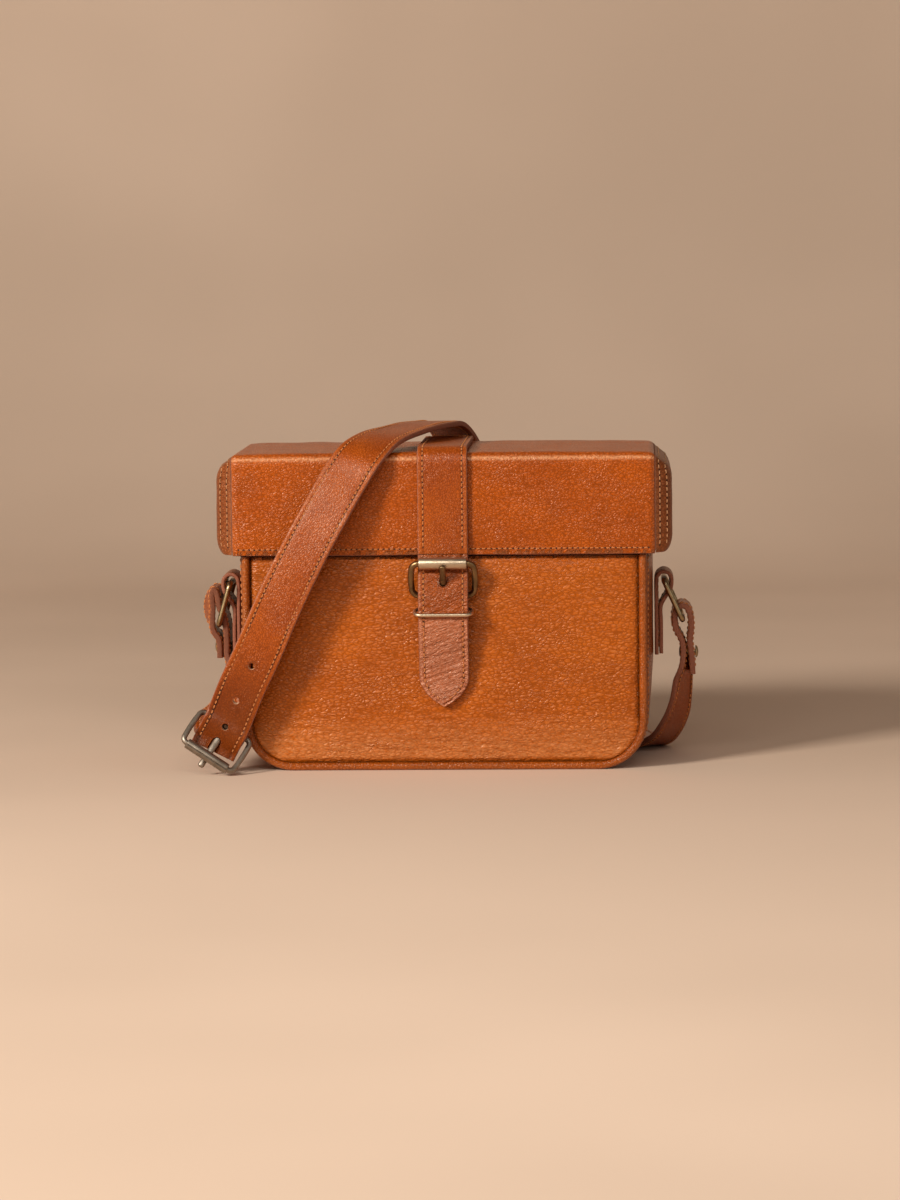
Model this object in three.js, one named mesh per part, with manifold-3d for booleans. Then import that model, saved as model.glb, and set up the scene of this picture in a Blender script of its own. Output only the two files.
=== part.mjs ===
// Leather box bag with a hinged box lid, a buckled closure strap and a buckled shoulder strap.
// Millimetres, +X right, +Y back, +Z up. The origin is the middle of the base.
import * as THREE from 'three';
import { mergeVertices } from 'three/addons/utils/BufferGeometryUtils.js';
import Module from 'manifold-3d';

const GAP = 0.3;
const LEATHER = 2.0;

// body
const BODY_HALF_W = 101.5;
const BODY_HALF_D = 44.0;
const BODY_TOP = 108.2;
const CORNER_R = 25.0;
const PIPING_R = 2.0;
const GUSSET_BULGE = 3.4;
const PANEL_PUFF = 2.0;
const BOARD = 1.6;
const LINING = 1.2;
const RIM_TOP = 122.0;
const RIM_THICK = 5.0;
const DIVIDER_THICK = 10.0;

// lid
const LID_HALF_W = 106.0;
const LID_HALF_D = 49.0;
const LID_BOTTOM = 109.0;
const LID_TOP = 159.6;
const LID_EDGE_R = 4.0;
const LID_LEATHER = 2.2;
const LID_END_BULGE = 6.6;
const LID_PUFF = 0.7;
const HINGE_STRIP_W = 176.0;

// closure strap and buckle
const CLOSURE_W = 25.0;
const CLOSURE_T = 3.0;
const CHAPE_W = 22.5;
const CHAPE_T = 1.6;
const BAR_Y = -50.0;
const BAR_Z = 88.8;
const ROLLER_Y = -56.6;
const ROLLER_Z = 105.4;
const FRAME_HALF_W = 15.2;
const FRAME_WIRE_R = 1.6;
const ROLLER_R = 3.0;
const ROLLER_LENGTH = 24.0;
const PRONG_R = 1.2;
const KEEPER_Z = 81.9;
const KEEPER_WIRE_R = 0.95;

// side rings and tabs
const RING_X = 110.5;
const RING_Z = 92.0;
const RING_DROP = 22.0;
const RING_HALF_W = 14.6;
const RING_WIRE_R = 1.4;
const RIGHT_LEAN = 24.7;
const LEFT_LEAN = 16.0;
const TAB_W = 22.0;
const TAB_T = 2.0;

// shoulder strap and its buckle
const STRAP_W = 23.5;
const STRAP_T = 3.0;
const STRAP_FRAME_HALF_W = 14.6;
const STRAP_FRAME_DROP = 20.0;
const STRAP_WIRE_R = 1.4;
const STRAP_ROLLER_R = 2.65;
const STRAP_ROLLER_LENGTH = 24.0;
const STRAP_HOLE_R = 1.5;
const RIVET_R = 3.2;

const wasm = await Module();
wasm.setup();
const bag = new THREE.Group();
bag.name = 'leather_box_bag';
const V = (x, y, z) => new THREE.Vector3(x, y, z);
const rad = (degrees) => (degrees * Math.PI) / 180;

const LOOKS = {
  leather: [0xb8662a, 0.5, 0],
  dark_leather: [0x7d4420, 0.55, 0],
  strap_leather: [0xb0602a, 0.5, 0],
  board: [0x8a7558, 0.9, 0],
  lining: [0xa98a63, 0.95, 0],
  antique_brass: [0x8d7a58, 0.35, 1],
  nickel: [0xb8b2a4, 0.25, 1],
};

function add(name, look, geometry) {
  const [color, roughness, metalness] = LOOKS[look];
  const mesh = new THREE.Mesh(geometry, new THREE.MeshStandardMaterial({ color, roughness, metalness }));
  mesh.name = name;
  bag.add(mesh);
}

// a closed body from points and triangles, turned to face out
function closed(points, triangles) {
  let volume = 0;
  const cross = V(0, 0, 0);
  for (const [a, b, c] of triangles) {
    volume += points[a].dot(cross.crossVectors(points[b], points[c]));
  }
  const geometry = new THREE.BufferGeometry();
  const flat = points.flatMap((p) => [p.x, p.y, p.z]);
  geometry.setAttribute('position', new THREE.Float32BufferAttribute(flat, 3));
  geometry.setIndex(triangles.flatMap(([a, b, c]) => (volume > 0 ? [a, b, c] : [a, c, b])));
  return geometry;
}

// joins rings of points into a tube; it is capped, or closed on itself
function loft(rings, isLoop) {
  const n = rings[0].length;
  const count = rings.length;
  const points = rings.flat();
  const triangles = [];
  for (let i = 0; i < (isLoop ? count : count - 1); i++) {
    for (let k = 0; k < n; k++) {
      const a = i * n + k;
      const b = i * n + ((k + 1) % n);
      const c = ((i + 1) % count) * n + k;
      const d = ((i + 1) % count) * n + ((k + 1) % n);
      triangles.push([a, b, d], [a, d, c]);
    }
  }
  if (!isLoop) {
    for (let k = 1; k < n - 1; k++) {
      triangles.push([0, k + 1, k], [(count - 1) * n, (count - 1) * n + k, (count - 1) * n + k + 1]);
    }
  }
  return closed(points, triangles);
}

// a thick sheet: place(u, v) gives the outer and the inner point, with u and v from 0 to 1
function sheet(us, vs, place) {
  const points = [];
  for (const side of [0, 1]) {
    for (const v of vs) {
      for (const u of us) {
        points.push(place(u, v)[side]);
      }
    }
  }
  const nu = us.length;
  const nv = vs.length;
  const at = (side, i, j) => side * nu * nv + j * nu + i;
  const triangles = [];
  const quad = (a, b, c, d) => triangles.push([a, b, c], [a, c, d]);
  for (let j = 0; j < nv - 1; j++) {
    for (let i = 0; i < nu - 1; i++) {
      quad(at(0, i, j), at(0, i + 1, j), at(0, i + 1, j + 1), at(0, i, j + 1));
      quad(at(1, i, j), at(1, i, j + 1), at(1, i + 1, j + 1), at(1, i + 1, j));
    }
  }
  for (let i = 0; i < nu - 1; i++) {
    quad(at(0, i, 0), at(1, i, 0), at(1, i + 1, 0), at(0, i + 1, 0));
    quad(at(0, i, nv - 1), at(0, i + 1, nv - 1), at(1, i + 1, nv - 1), at(1, i, nv - 1));
  }
  for (let j = 0; j < nv - 1; j++) {
    quad(at(0, 0, j), at(0, 0, j + 1), at(1, 0, j + 1), at(1, 0, j));
    quad(at(0, nu - 1, j), at(1, nu - 1, j), at(1, nu - 1, j + 1), at(0, nu - 1, j + 1));
  }
  return closed(points, triangles);
}

const steps = (n) => Array.from({ length: n + 1 }, (_, i) => i / n);

// a flat strap through stations [x, y, z, widthX, widthY, widthZ, thickness?, widthShare?]
function strap(stations, width, thickness, perStation = 2) {
  const centres = stations.map((s) => V(s[0], s[1], s[2]));
  const sides = stations.map((s) => V(s[3], s[4], s[5]).normalize());
  const extra = stations.map((s) => [s[6] ?? thickness, s[7] ?? 1]);
  const path = new THREE.CatmullRomCurve3(centres, false, 'centripetal');
  const spread = new THREE.CatmullRomCurve3(sides, false, 'catmullrom');
  const rings = steps((stations.length - 1) * perStation).map((t) => {
    const place = path.getPoint(t);
    const along = path.getTangent(t);
    const side = spread.getPoint(t);
    side.addScaledVector(along, -side.dot(along)).normalize();
    const up = V(0, 0, 0).crossVectors(along, side).normalize();
    const k = Math.min(Math.floor(t * (stations.length - 1)), stations.length - 2);
    const f = t * (stations.length - 1) - k;
    const [thick, share] = [0, 1].map((m) => extra[k][m] * (1 - f) + extra[k + 1][m] * f);
    const w = (width * share) / 2;
    const h = thick / 2;
    const c = Math.min(0.6, w * 0.3);
    const outline = [[-w + c, -h], [w - c, -h], [w, -h + c], [w, h - c], [w - c, h], [-w + c, h], [-w, h - c], [-w, -h + c]];
    return outline.map(([a, b]) => place.clone().addScaledVector(side, a).addScaledVector(up, b));
  });
  return loft(rings, false);
}

// a round rod along points
function rod(points, radius, sides = 10) {
  const path = new THREE.CatmullRomCurve3(points, false, 'centripetal');
  const n = points.length > 2 ? (points.length - 1) * 4 : 1;
  const frames = path.computeFrenetFrames(n, false);
  const rings = steps(n).map((t, i) => circleAt(path.getPoint(t), frames.normals[i], frames.binormals[i], radius, sides));
  return loft(rings, false);
}

function circleAt(centre, a, b, radius, sides) {
  return Array.from({ length: sides }, (_, k) => {
    const turn = (k / sides) * 2 * Math.PI;
    return centre.clone().addScaledVector(a, radius * Math.cos(turn)).addScaledVector(b, radius * Math.sin(turn));
  });
}

// a wire rectangle with round corners: centre line through origin + u * [-halfW, halfW] + v * [0, length]
function wireLoop(origin, u, v, halfW, length, wireR, cornerR) {
  const normal = V(0, 0, 0).crossVectors(u, v).normalize();
  const rings = [];
  const corners = [[halfW, 0, -90], [halfW, length, 0], [-halfW, length, 90], [-halfW, 0, 180]];
  for (const [cu, cv, start] of corners) {
    const centreU = cu - Math.sign(cu) * cornerR;
    const centreV = cv === 0 ? cornerR : length - cornerR;
    for (let i = 0; i <= 4; i++) {
      const turn = rad(start + i * 22.5);
      const out = u.clone().multiplyScalar(Math.cos(turn)).addScaledVector(v, Math.sin(turn));
      const place = origin.clone().addScaledVector(u, centreU).addScaledVector(v, centreV);
      rings.push(circleAt(place.addScaledVector(out, cornerR), out, normal, wireR, 8));
    }
  }
  return loft(rings, true);
}

// a sleeve or coil around an axis
function sleeve(centre, axis, innerR, outerR, length) {
  const a = Math.abs(axis.x) > 0.9 ? V(0, 1, 0) : V(1, 0, 0);
  const first = V(0, 0, 0).crossVectors(axis, a).normalize();
  const second = V(0, 0, 0).crossVectors(axis, first).normalize();
  const rings = [[innerR, -0.5], [outerR, -0.5], [outerR, 0.5], [innerR, 0.5]].map(([r, s]) =>
    circleAt(centre.clone().addScaledVector(axis, s * length), first, second, r, 20),
  );
  return loft(rings, true);
}

function solid(geometry) {
  const bare = geometry.clone();
  bare.deleteAttribute('normal');
  bare.deleteAttribute('uv');
  const merged = mergeVertices(bare, 1e-4);
  const mesh = new wasm.Mesh({
    numProp: 3,
    vertProperties: new Float32Array(merged.attributes.position.array),
    triVerts: new Uint32Array(merged.index.array),
  });
  return new wasm.Manifold(mesh);
}

function geometryOf(manifold) {
  const mesh = manifold.getMesh();
  const geometry = new THREE.BufferGeometry();
  geometry.setAttribute('position', new THREE.BufferAttribute(new Float32Array(mesh.vertProperties), 3));
  geometry.setIndex(new THREE.BufferAttribute(new Uint32Array(mesh.triVerts), 1));
  return geometry;
}

const cut = (geometry, tools) => geometryOf(tools.reduce((body, tool) => body.subtract(solid(tool)), solid(geometry)));
const join = (a, b) => geometryOf(solid(a).add(solid(b)));
const block = (x0, x1, y0, y1, z0, z1) =>
  new THREE.BoxGeometry(x1 - x0, y1 - y0, z1 - z0).translate((x0 + x1) / 2, (y0 + y1) / 2, (z0 + z1) / 2);

// half the width of the body's outline at height z, inset from the outermost edge
function halfWidth(z, inset) {
  const r = CORNER_R - inset;
  const below = Math.max(0, CORNER_R - z);
  return BODY_HALF_W - CORNER_R + Math.sqrt(Math.max(0, r * r - below * below));
}

// the body's outline in the XZ plane from the top left, round the bottom, to the top right
function outline(inset, top) {
  const r = CORNER_R - inset;
  const cx = BODY_HALF_W - CORNER_R;
  const found = [];
  for (let i = 0; i <= 6; i++) {
    found.push([-cx - r, top + ((CORNER_R - top) * i) / 6, -1, 0]);
  }
  for (let i = 1; i <= 8; i++) {
    const turn = rad(180 + (i * 90) / 8);
    found.push([-cx + r * Math.cos(turn), CORNER_R + r * Math.sin(turn), Math.cos(turn), Math.sin(turn)]);
  }
  const left = found.slice();
  for (let i = 1; i <= 4; i++) {
    found.push([-cx + (2 * cx * i) / 4, CORNER_R - r, 0, -1]);
  }
  found.pop();
  for (const [x, z, nx, nz] of left.reverse()) {
    found.push([-x, z, -nx, nz]);
  }
  return found;
}

const smooth = (t) => {
  const s = Math.min(1, Math.max(0, t));
  return s * s * (3 - 2 * s);
};

// ---- body: panels, piping, gusset

function panel(back) {
  const inset = 2 * PIPING_R + GAP;
  const low = inset;
  const sign = back ? 1 : -1;
  const rows = steps(back ? 14 : 18).map((t) => t * t * 0.45 + t * 0.55);
  return sheet(steps(back ? 4 : 14), rows, (u, v) => {
    const z = low + v * (BODY_TOP - low);
    const x = (2 * u - 1) * halfWidth(z, inset);
    const across = 1 - Math.abs(2 * u - 1) ** 5;
    const up = smooth(v * 6) * smooth((1 - v) * 7 + 0.35);
    const puff = (back ? 0 : PANEL_PUFF) * across * up;
    return [V(x, sign * (BODY_HALF_D + puff), z), V(x, sign * (BODY_HALF_D - LEATHER), z)];
  });
}

function piping(sign) {
  const line = outline(PIPING_R, BODY_TOP);
  const rings = line.map(([x, z, nx, nz]) =>
    circleAt(V(x, sign * (BODY_HALF_D - 0.2), z), V(nx, 0, nz), V(0, 1, 0), PIPING_R, 8),
  );
  return loft(rings, false);
}

function band(inset, thickness, halfDepth, top, bulge) {
  const line = outline(inset, top);
  const last = line.length - 1;
  return sheet(steps(last), steps(bulge ? 6 : 2), (u, v) => {
    const [x, z, nx, nz] = line[Math.round(u * last)];
    const y = (2 * v - 1) * halfDepth;
    const out = bulge * (1 - (2 * v - 1) ** 2) * smooth((z - 4) / 55) * Math.abs(nx);
    return [V(x + nx * out, y, z + nz * out), V(x + nx * (out - thickness), y, z + nz * (out - thickness))];
  });
}

const gussetDepth = BODY_HALF_D - 0.2 - PIPING_R - GAP;
add('front_panel', 'leather', panel(false));
add('back_panel', 'leather', panel(true));
add('front_piping', 'leather', piping(-1));
add('back_piping', 'leather', piping(1));
add('gusset', 'leather', band(0, LEATHER, gussetDepth, BODY_TOP, GUSSET_BULGE));
add('gusset_board', 'board', band(GAP + LEATHER + GAP, BOARD, gussetDepth - GAP, BODY_TOP - 0.4, 0));

// a flat plate in the shape of the body's outline
function plate(inset, y0, y1, top) {
  return sheet(steps(2), steps(16).map((t) => t * t), (u, v) => {
    const z = inset + v * (top - inset);
    const x = (2 * u - 1) * halfWidth(z, inset);
    return [V(x, y0, z), V(x, y1, z)];
  });
}

const boardOuter = BODY_HALF_D - LEATHER - GAP;
const boardInset = GAP + LEATHER + GAP + BOARD + GAP;
add('front_board', 'board', plate(boardInset, -boardOuter, -boardOuter + BOARD, BODY_TOP - 0.4));
add('back_board', 'board', plate(boardInset, boardOuter, boardOuter - BOARD, BODY_TOP - 0.4));

// ---- body: lining, rim, pad and divider

const liningDepth = boardOuter - BOARD - GAP;
const liningInset = boardInset;
add('body_lining', 'lining', cut(plate(liningInset, -liningDepth, liningDepth, BODY_TOP - 0.6), [
  plate(liningInset + LINING, -liningDepth + LINING, liningDepth - LINING, BODY_TOP + 20),
]));

const rimHalfW = BODY_HALF_W - 5.5;
const rimHalfD = boardOuter - 0.6;
add('rim', 'lining', cut(block(-rimHalfW, rimHalfW, -rimHalfD, rimHalfD, BODY_TOP + GAP, RIM_TOP), [
  block(-rimHalfW + RIM_THICK, rimHalfW - RIM_THICK, -rimHalfD + RIM_THICK, rimHalfD - RIM_THICK, 100, 130),
]));

function cushion(x0, x1, y0, y1, z0, z1, edge) {
  const shape = new THREE.Shape();
  shape.moveTo(x0 + 2 * edge, y0 + edge);
  shape.lineTo(x1 - 2 * edge, y0 + edge);
  shape.quadraticCurveTo(x1 - edge, y0 + edge, x1 - edge, y0 + 2 * edge);
  shape.lineTo(x1 - edge, y1 - 2 * edge);
  shape.quadraticCurveTo(x1 - edge, y1 - edge, x1 - 2 * edge, y1 - edge);
  shape.lineTo(x0 + 2 * edge, y1 - edge);
  shape.quadraticCurveTo(x0 + edge, y1 - edge, x0 + edge, y1 - 2 * edge);
  shape.lineTo(x0 + edge, y0 + 2 * edge);
  shape.quadraticCurveTo(x0 + edge, y0 + edge, x0 + 2 * edge, y0 + edge);
  const options = { depth: z1 - z0 - 2 * edge, bevelSize: edge, bevelThickness: edge, bevelSegments: 3, curveSegments: 4 };
  return new THREE.ExtrudeGeometry(shape, { ...options, bevelEnabled: true }).translate(0, 0, z0 + edge);
}

const insideDepth = liningDepth - LINING - GAP;
const floorZ = liningInset + LINING + GAP;
const padTop = floorZ + 6;
add('base_pad', 'lining', cushion(-72, 72, -insideDepth, insideDepth, floorZ, padTop, 2));
add('divider', 'lining', cushion(
  -DIVIDER_THICK / 2, DIVIDER_THICK / 2, -insideDepth, insideDepth, padTop + GAP, BODY_TOP - 10, 2.4,
));

// ---- lid

// the lid's section in the YZ plane, from the front lower edge over the top to the back lower edge
function lidSection() {
  const flatY = LID_HALF_D - LID_EDGE_R;
  const flatZ = LID_TOP - LID_EDGE_R;
  const found = [];
  for (let i = 0; i < 6; i++) {
    found.push([-LID_HALF_D, LID_BOTTOM + ((flatZ - LID_BOTTOM) * i) / 6, -1, 0]);
  }
  for (let i = 0; i <= 6; i++) {
    const turn = rad(180 - i * 15);
    found.push([-flatY + LID_EDGE_R * Math.cos(turn), flatZ + LID_EDGE_R * Math.sin(turn), Math.cos(turn), Math.sin(turn)]);
  }
  for (let i = 1; i < 8; i++) {
    found.push([-flatY + (2 * flatY * i) / 8, LID_TOP, 0, 1]);
  }
  const mirrored = found.slice(0, 13).map(([y, z, ny, nz]) => [-y, z, -ny, nz]).reverse();
  return found.concat(mirrored);
}

const section = lidSection();
const lidUs = section.map((_, i) => i / (section.length - 1));
add('lid_cover', 'leather', sheet(lidUs, steps(8), (u, v) => {
  const i = Math.round(u * (section.length - 1));
  const [y, z, ny, nz] = section[i];
  const onBack = y > LID_HALF_D - LID_EDGE_R;
  const puff = onBack ? 0 : LID_PUFF * (1 - (2 * v - 1) ** 6) * smooth((z - LID_BOTTOM) / 12 + (nz > 0.5 ? 1 : 0));
  const x = (2 * v - 1) * (LID_HALF_W - 0.2);
  return [
    V(x, y + ny * puff, z + nz * puff),
    V(x, y + ny * (puff - LID_LEATHER), z + nz * (puff - LID_LEATHER)),
  ];
}));

// a quarter ellipse that rises from 0 to 1
const shoulder = (t) => Math.sqrt(1 - (1 - Math.min(1, Math.max(0, t))) ** 2);

function lidEnd(sign) {
  const rows = steps(16).map((t) => (1 - Math.cos(Math.PI * t)) / 2);
  return sheet(steps(12), rows, (u, v) => {
    const z = LID_BOTTOM + v * (LID_TOP - 0.4 - LID_BOTTOM);
    const above = Math.max(0, z - (LID_TOP - 0.4 - LID_EDGE_R));
    const halfY = LID_HALF_D - 0.4 - LID_EDGE_R + Math.sqrt(Math.max(0, LID_EDGE_R ** 2 - above ** 2));
    const y = (2 * u - 1) * halfY;
    const across = (1 - Math.abs(2 * u - 1) ** 3) ** 0.7;
    const rise = shoulder((LID_TOP - 0.4 - z) / 13) * (0.35 + 0.65 * shoulder((z - LID_BOTTOM) / 10));
    const x = LID_HALF_W + 0.1 + LID_END_BULGE * across * rise;
    return [V(sign * (x + LEATHER), y, z), V(sign * x, y, z)];
  });
}

add('lid_left_end', 'dark_leather', lidEnd(-1));
add('lid_right_end', 'dark_leather', lidEnd(1));

const lidInnerY = LID_HALF_D - LID_LEATHER - GAP;
const lidInnerX = LID_HALF_W - 2;
const boardZ = LID_TOP - LID_LEATHER - GAP;
add('lid_top_board', 'board', block(-lidInnerX, lidInnerX, -lidInnerY + 5, lidInnerY - 5, boardZ - BOARD, boardZ));
add('lid_front_board', 'board', block(-lidInnerX, lidInnerX, -lidInnerY, -lidInnerY + BOARD, 123, LID_TOP - LID_EDGE_R - 0.6));
add('lid_hem_facing', 'dark_leather', block(
  -lidInnerX, lidInnerX, -lidInnerY, -lidInnerY + BOARD, LID_BOTTOM - 0.4, 123 - GAP,
));
const shellY = lidInnerY - BOARD - GAP;
const shellX = lidInnerX - 0.5;
const shellTop = boardZ - BOARD - GAP;
add('lid_lining', 'lining', cut(block(-shellX, shellX, -shellY, shellY, LID_BOTTOM + 1, shellTop), [
  block(-shellX + LINING, shellX - LINING, -shellY + LINING, shellY - LINING, 100, shellTop - LINING),
]));

const across = [1, 0, 0];
add('hinge_strip', 'dark_leather', strap([
  [0, 45.3, 84, ...across], [0, 45.3, 96, ...across], [0, 45.6, 102, ...across], [0, 47.6, 106.2, ...across],
  [0, 49.8, 108.6, ...across], [0, 50.3, 112, ...across], [0, 50.3, 118, ...across], [0, 50.3, 124, ...across],
], HINGE_STRIP_W, 1.6));

// ---- closure strap, chape, buckle and keeper

const strapZ = LID_TOP + LID_PUFF + GAP + CLOSURE_T / 2;
const strapY = -(LID_HALF_D + LID_PUFF + GAP + CLOSURE_T / 2);
const bendR = LID_EDGE_R + LID_PUFF + GAP + CLOSURE_T / 2;
const bend = [0, 1, 2, 3, 4].map((i) => {
  const turn = rad(90 + i * 22.5);
  const flatY = LID_HALF_D - LID_EDGE_R;
  return [0, -flatY + bendR * Math.cos(turn), LID_TOP - LID_EDGE_R + bendR * Math.sin(turn), ...across];
});
add('closure_strap', 'strap_leather', strap([
  [0, 36, strapZ, ...across], [0, 20, strapZ, ...across], [0, 0, strapZ, ...across], [0, -22, strapZ, ...across],
  ...bend,
  [0, strapY, 140, ...across], [0, strapY, 125, ...across], [0, strapY, 109.9, ...across],
], CLOSURE_W, CLOSURE_T));

const prongAlong = V(0, -61.6 - BAR_Y, 104.6 - BAR_Z).normalize();
const prongFrom = V(0, BAR_Y, BAR_Z);
const prongTip = V(0, -61.6, 104.6);
const prongPath = (radius, from, to) =>
  rod([prongFrom.clone().addScaledVector(prongAlong, from), prongFrom.clone().addScaledVector(prongAlong, to)], radius);
const tongue = strap([
  [0, -51.6, 109.6, ...across], [0, -51.6, 104, ...across], [0, -53.2, 97.5, ...across], [0, -55.1, 91.5, ...across],
  [0, -55.6, 86.5, ...across], [0, -55.5, 81, ...across], [0, -54.7, 74, ...across], [0, -52.4, 63, ...across],
  [0, -50.2, 53, ...across], [0, -49.0, 45, ...across, CLOSURE_T, 0.98], [0, -48.8, 40, ...across, CLOSURE_T, 0.78],
  [0, -48.8, 36, ...across, CLOSURE_T, 0.5], [0, -48.8, 33, ...across, CLOSURE_T, 0.1],
], CLOSURE_W, CLOSURE_T);
add('closure_tongue', 'strap_leather', cut(tongue, [prongPath(PRONG_R + 0.6, 2.5, 16)]));

const fold = BAR_Y + 1.9 + CHAPE_T / 2;
const foldR = 1.9 + CHAPE_T / 2;
const chape = strap([
  [0, fold, 60, ...across], [0, fold, 70, ...across], [0, fold, 80, ...across], [0, fold, BAR_Z, ...across],
  [0, BAR_Y + foldR * 0.71, BAR_Z + foldR * 0.71, ...across], [0, BAR_Y, BAR_Z + foldR, ...across],
  [0, BAR_Y - foldR * 0.71, BAR_Z + foldR * 0.71, ...across], [0, BAR_Y - foldR, BAR_Z, ...across],
  [0, BAR_Y - foldR, 80, ...across], [0, fold - 3, 73, ...across], [0, fold - 1.95, 68, ...across], [0, fold - 1.95, 60, ...across],
], CHAPE_W, CHAPE_T);
add('closure_chape', 'dark_leather', cut(chape, [block(-2.6, 2.6, -54, -46.6, 84, 94)]));

const X = V(1, 0, 0);
const frameUp = V(0, ROLLER_Y - BAR_Y, ROLLER_Z - BAR_Z);
const frameLength = frameUp.length();
frameUp.normalize();
add('closure_buckle_frame', 'antique_brass', wireLoop(V(0, BAR_Y, BAR_Z), X, frameUp, FRAME_HALF_W, frameLength, FRAME_WIRE_R, 3.2));
add('closure_buckle_roller', 'antique_brass', sleeve(V(0, ROLLER_Y, ROLLER_Z), X, FRAME_WIRE_R + 0.3, ROLLER_R, ROLLER_LENGTH));
const coil = sleeve(V(0, BAR_Y, BAR_Z), X, FRAME_WIRE_R + 0.25, 3.0, 3.4);
const prongLength = prongTip.distanceTo(prongFrom);
add('closure_buckle_prong', 'antique_brass', join(coil, prongPath(PRONG_R, 2.4, prongLength)));
add('closure_keeper', 'antique_brass', wireLoop(V(0, BAR_Y, KEEPER_Z), X, V(0, -1, 0), 14.3, 8.4, KEEPER_WIRE_R, 2.2));

// ---- side tabs, rings and rivets

function tab(sign) {
  const back = BODY_HALF_W + GUSSET_BULGE + 0.7 + TAB_T / 2;
  const layer = TAB_T + GAP;
  const w = [0, 1, 0];
  const loopX = RING_X - back;
  const top = [1, 2, 3, 4, 5].map((i) => {
    const turn = rad(180 - i * 30);
    return [RING_X + loopX * Math.cos(turn), RING_Z + 4.4 * Math.sin(turn), ...w];
  });
  const line = [
    [back, 54, ...w], [back, 66, ...w], [back, 78, ...w], [back, RING_Z, ...w],
    ...top,
    [RING_X + loopX, RING_Z, ...w], [RING_X + loopX - 0.6, 87.6, ...w], [RING_X + 0.6, 83.4, ...w],
    [back + layer, 79, ...w], [back + layer, 70, ...w], [back + layer, 54.6, ...w],
  ];
  return strap(line.map(([x, z, ...rest]) => [sign * x, 0, z, ...rest]), TAB_W, TAB_T);
}

function ring(sign, lean) {
  const down = V(sign * Math.sin(rad(lean)), 0, -Math.cos(rad(lean)));
  return wireLoop(V(sign * RING_X, 0, RING_Z), V(0, 1, 0), down, RING_HALF_W, RING_DROP, RING_WIRE_R, 3);
}

function rivet(x, z, sign, grip) {
  const profile = [
    [0, 0], [1.6, 0.1], [2.8, 0.6], [RIVET_R, 1.3], [RIVET_R, 1.5], [1.1, 1.5],
    [1.1, 1.5 + grip], [RIVET_R - 0.4, 1.5 + grip], [RIVET_R - 0.4, 2.1 + grip], [0, 2.3 + grip],
  ];
  const points = profile.map(([r, h]) => new THREE.Vector2(r, h));
  const turned = new THREE.LatheGeometry(points, 16);
  return turned.rotateZ((sign * Math.PI) / 2).translate(x, 0, z);
}

add('left_ring_tab', 'dark_leather', tab(-1));
add('right_ring_tab', 'dark_leather', tab(1));
add('left_ring', 'antique_brass', ring(-1, LEFT_LEAN));
add('right_ring', 'antique_brass', ring(1, RIGHT_LEAN));

// ---- shoulder strap buckle: u runs along its bars, v from the roller up to the pivot bar, n outwards

const BUCKLE = V(-118.5, -64.5, 10.3);
const bu = V(0.83, 0, -0.557).normalize();
const bv = V(0.445, 0.6, 0.664);
bv.addScaledVector(bu, -bv.dot(bu)).normalize();
const bn = V(0, 0, 0).crossVectors(bu, bv).normalize();
if (bn.y > 0) {
  bn.negate();
}
const local = (v, n) => BUCKLE.clone().addScaledVector(bv, v).addScaledVector(bn, n);
const station = (v, n, shift = 0) => [...local(v, n).addScaledVector(bu, shift).toArray(), ...bu.toArray()];
const PIVOT = STRAP_FRAME_DROP;

add('strap_buckle_frame', 'nickel', wireLoop(BUCKLE, bu, bv, STRAP_FRAME_HALF_W, STRAP_FRAME_DROP, STRAP_WIRE_R, 2.4));
add('strap_buckle_roller', 'nickel', sleeve(BUCKLE, bu, STRAP_WIRE_R + 0.3, STRAP_ROLLER_R, STRAP_ROLLER_LENGTH));
const strapProngTip = local(-4.6, -5.4);
const strapProngRod = (radius, from, to) => {
  const base = local(PIVOT, 0);
  const along = strapProngTip.clone().sub(base).normalize();
  return rod([base.clone().addScaledVector(along, from), base.clone().addScaledVector(along, to)], radius);
};
const strapProngLength = strapProngTip.distanceTo(local(PIVOT, 0));
const strapCoil = sleeve(local(PIVOT, 0), bu, STRAP_WIRE_R + 0.25, 2.8, 3.4);
add('strap_buckle_prong', 'nickel', join(strapCoil, strapProngRod(PRONG_R, 2.2, strapProngLength)));

// ---- shoulder strap

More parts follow.
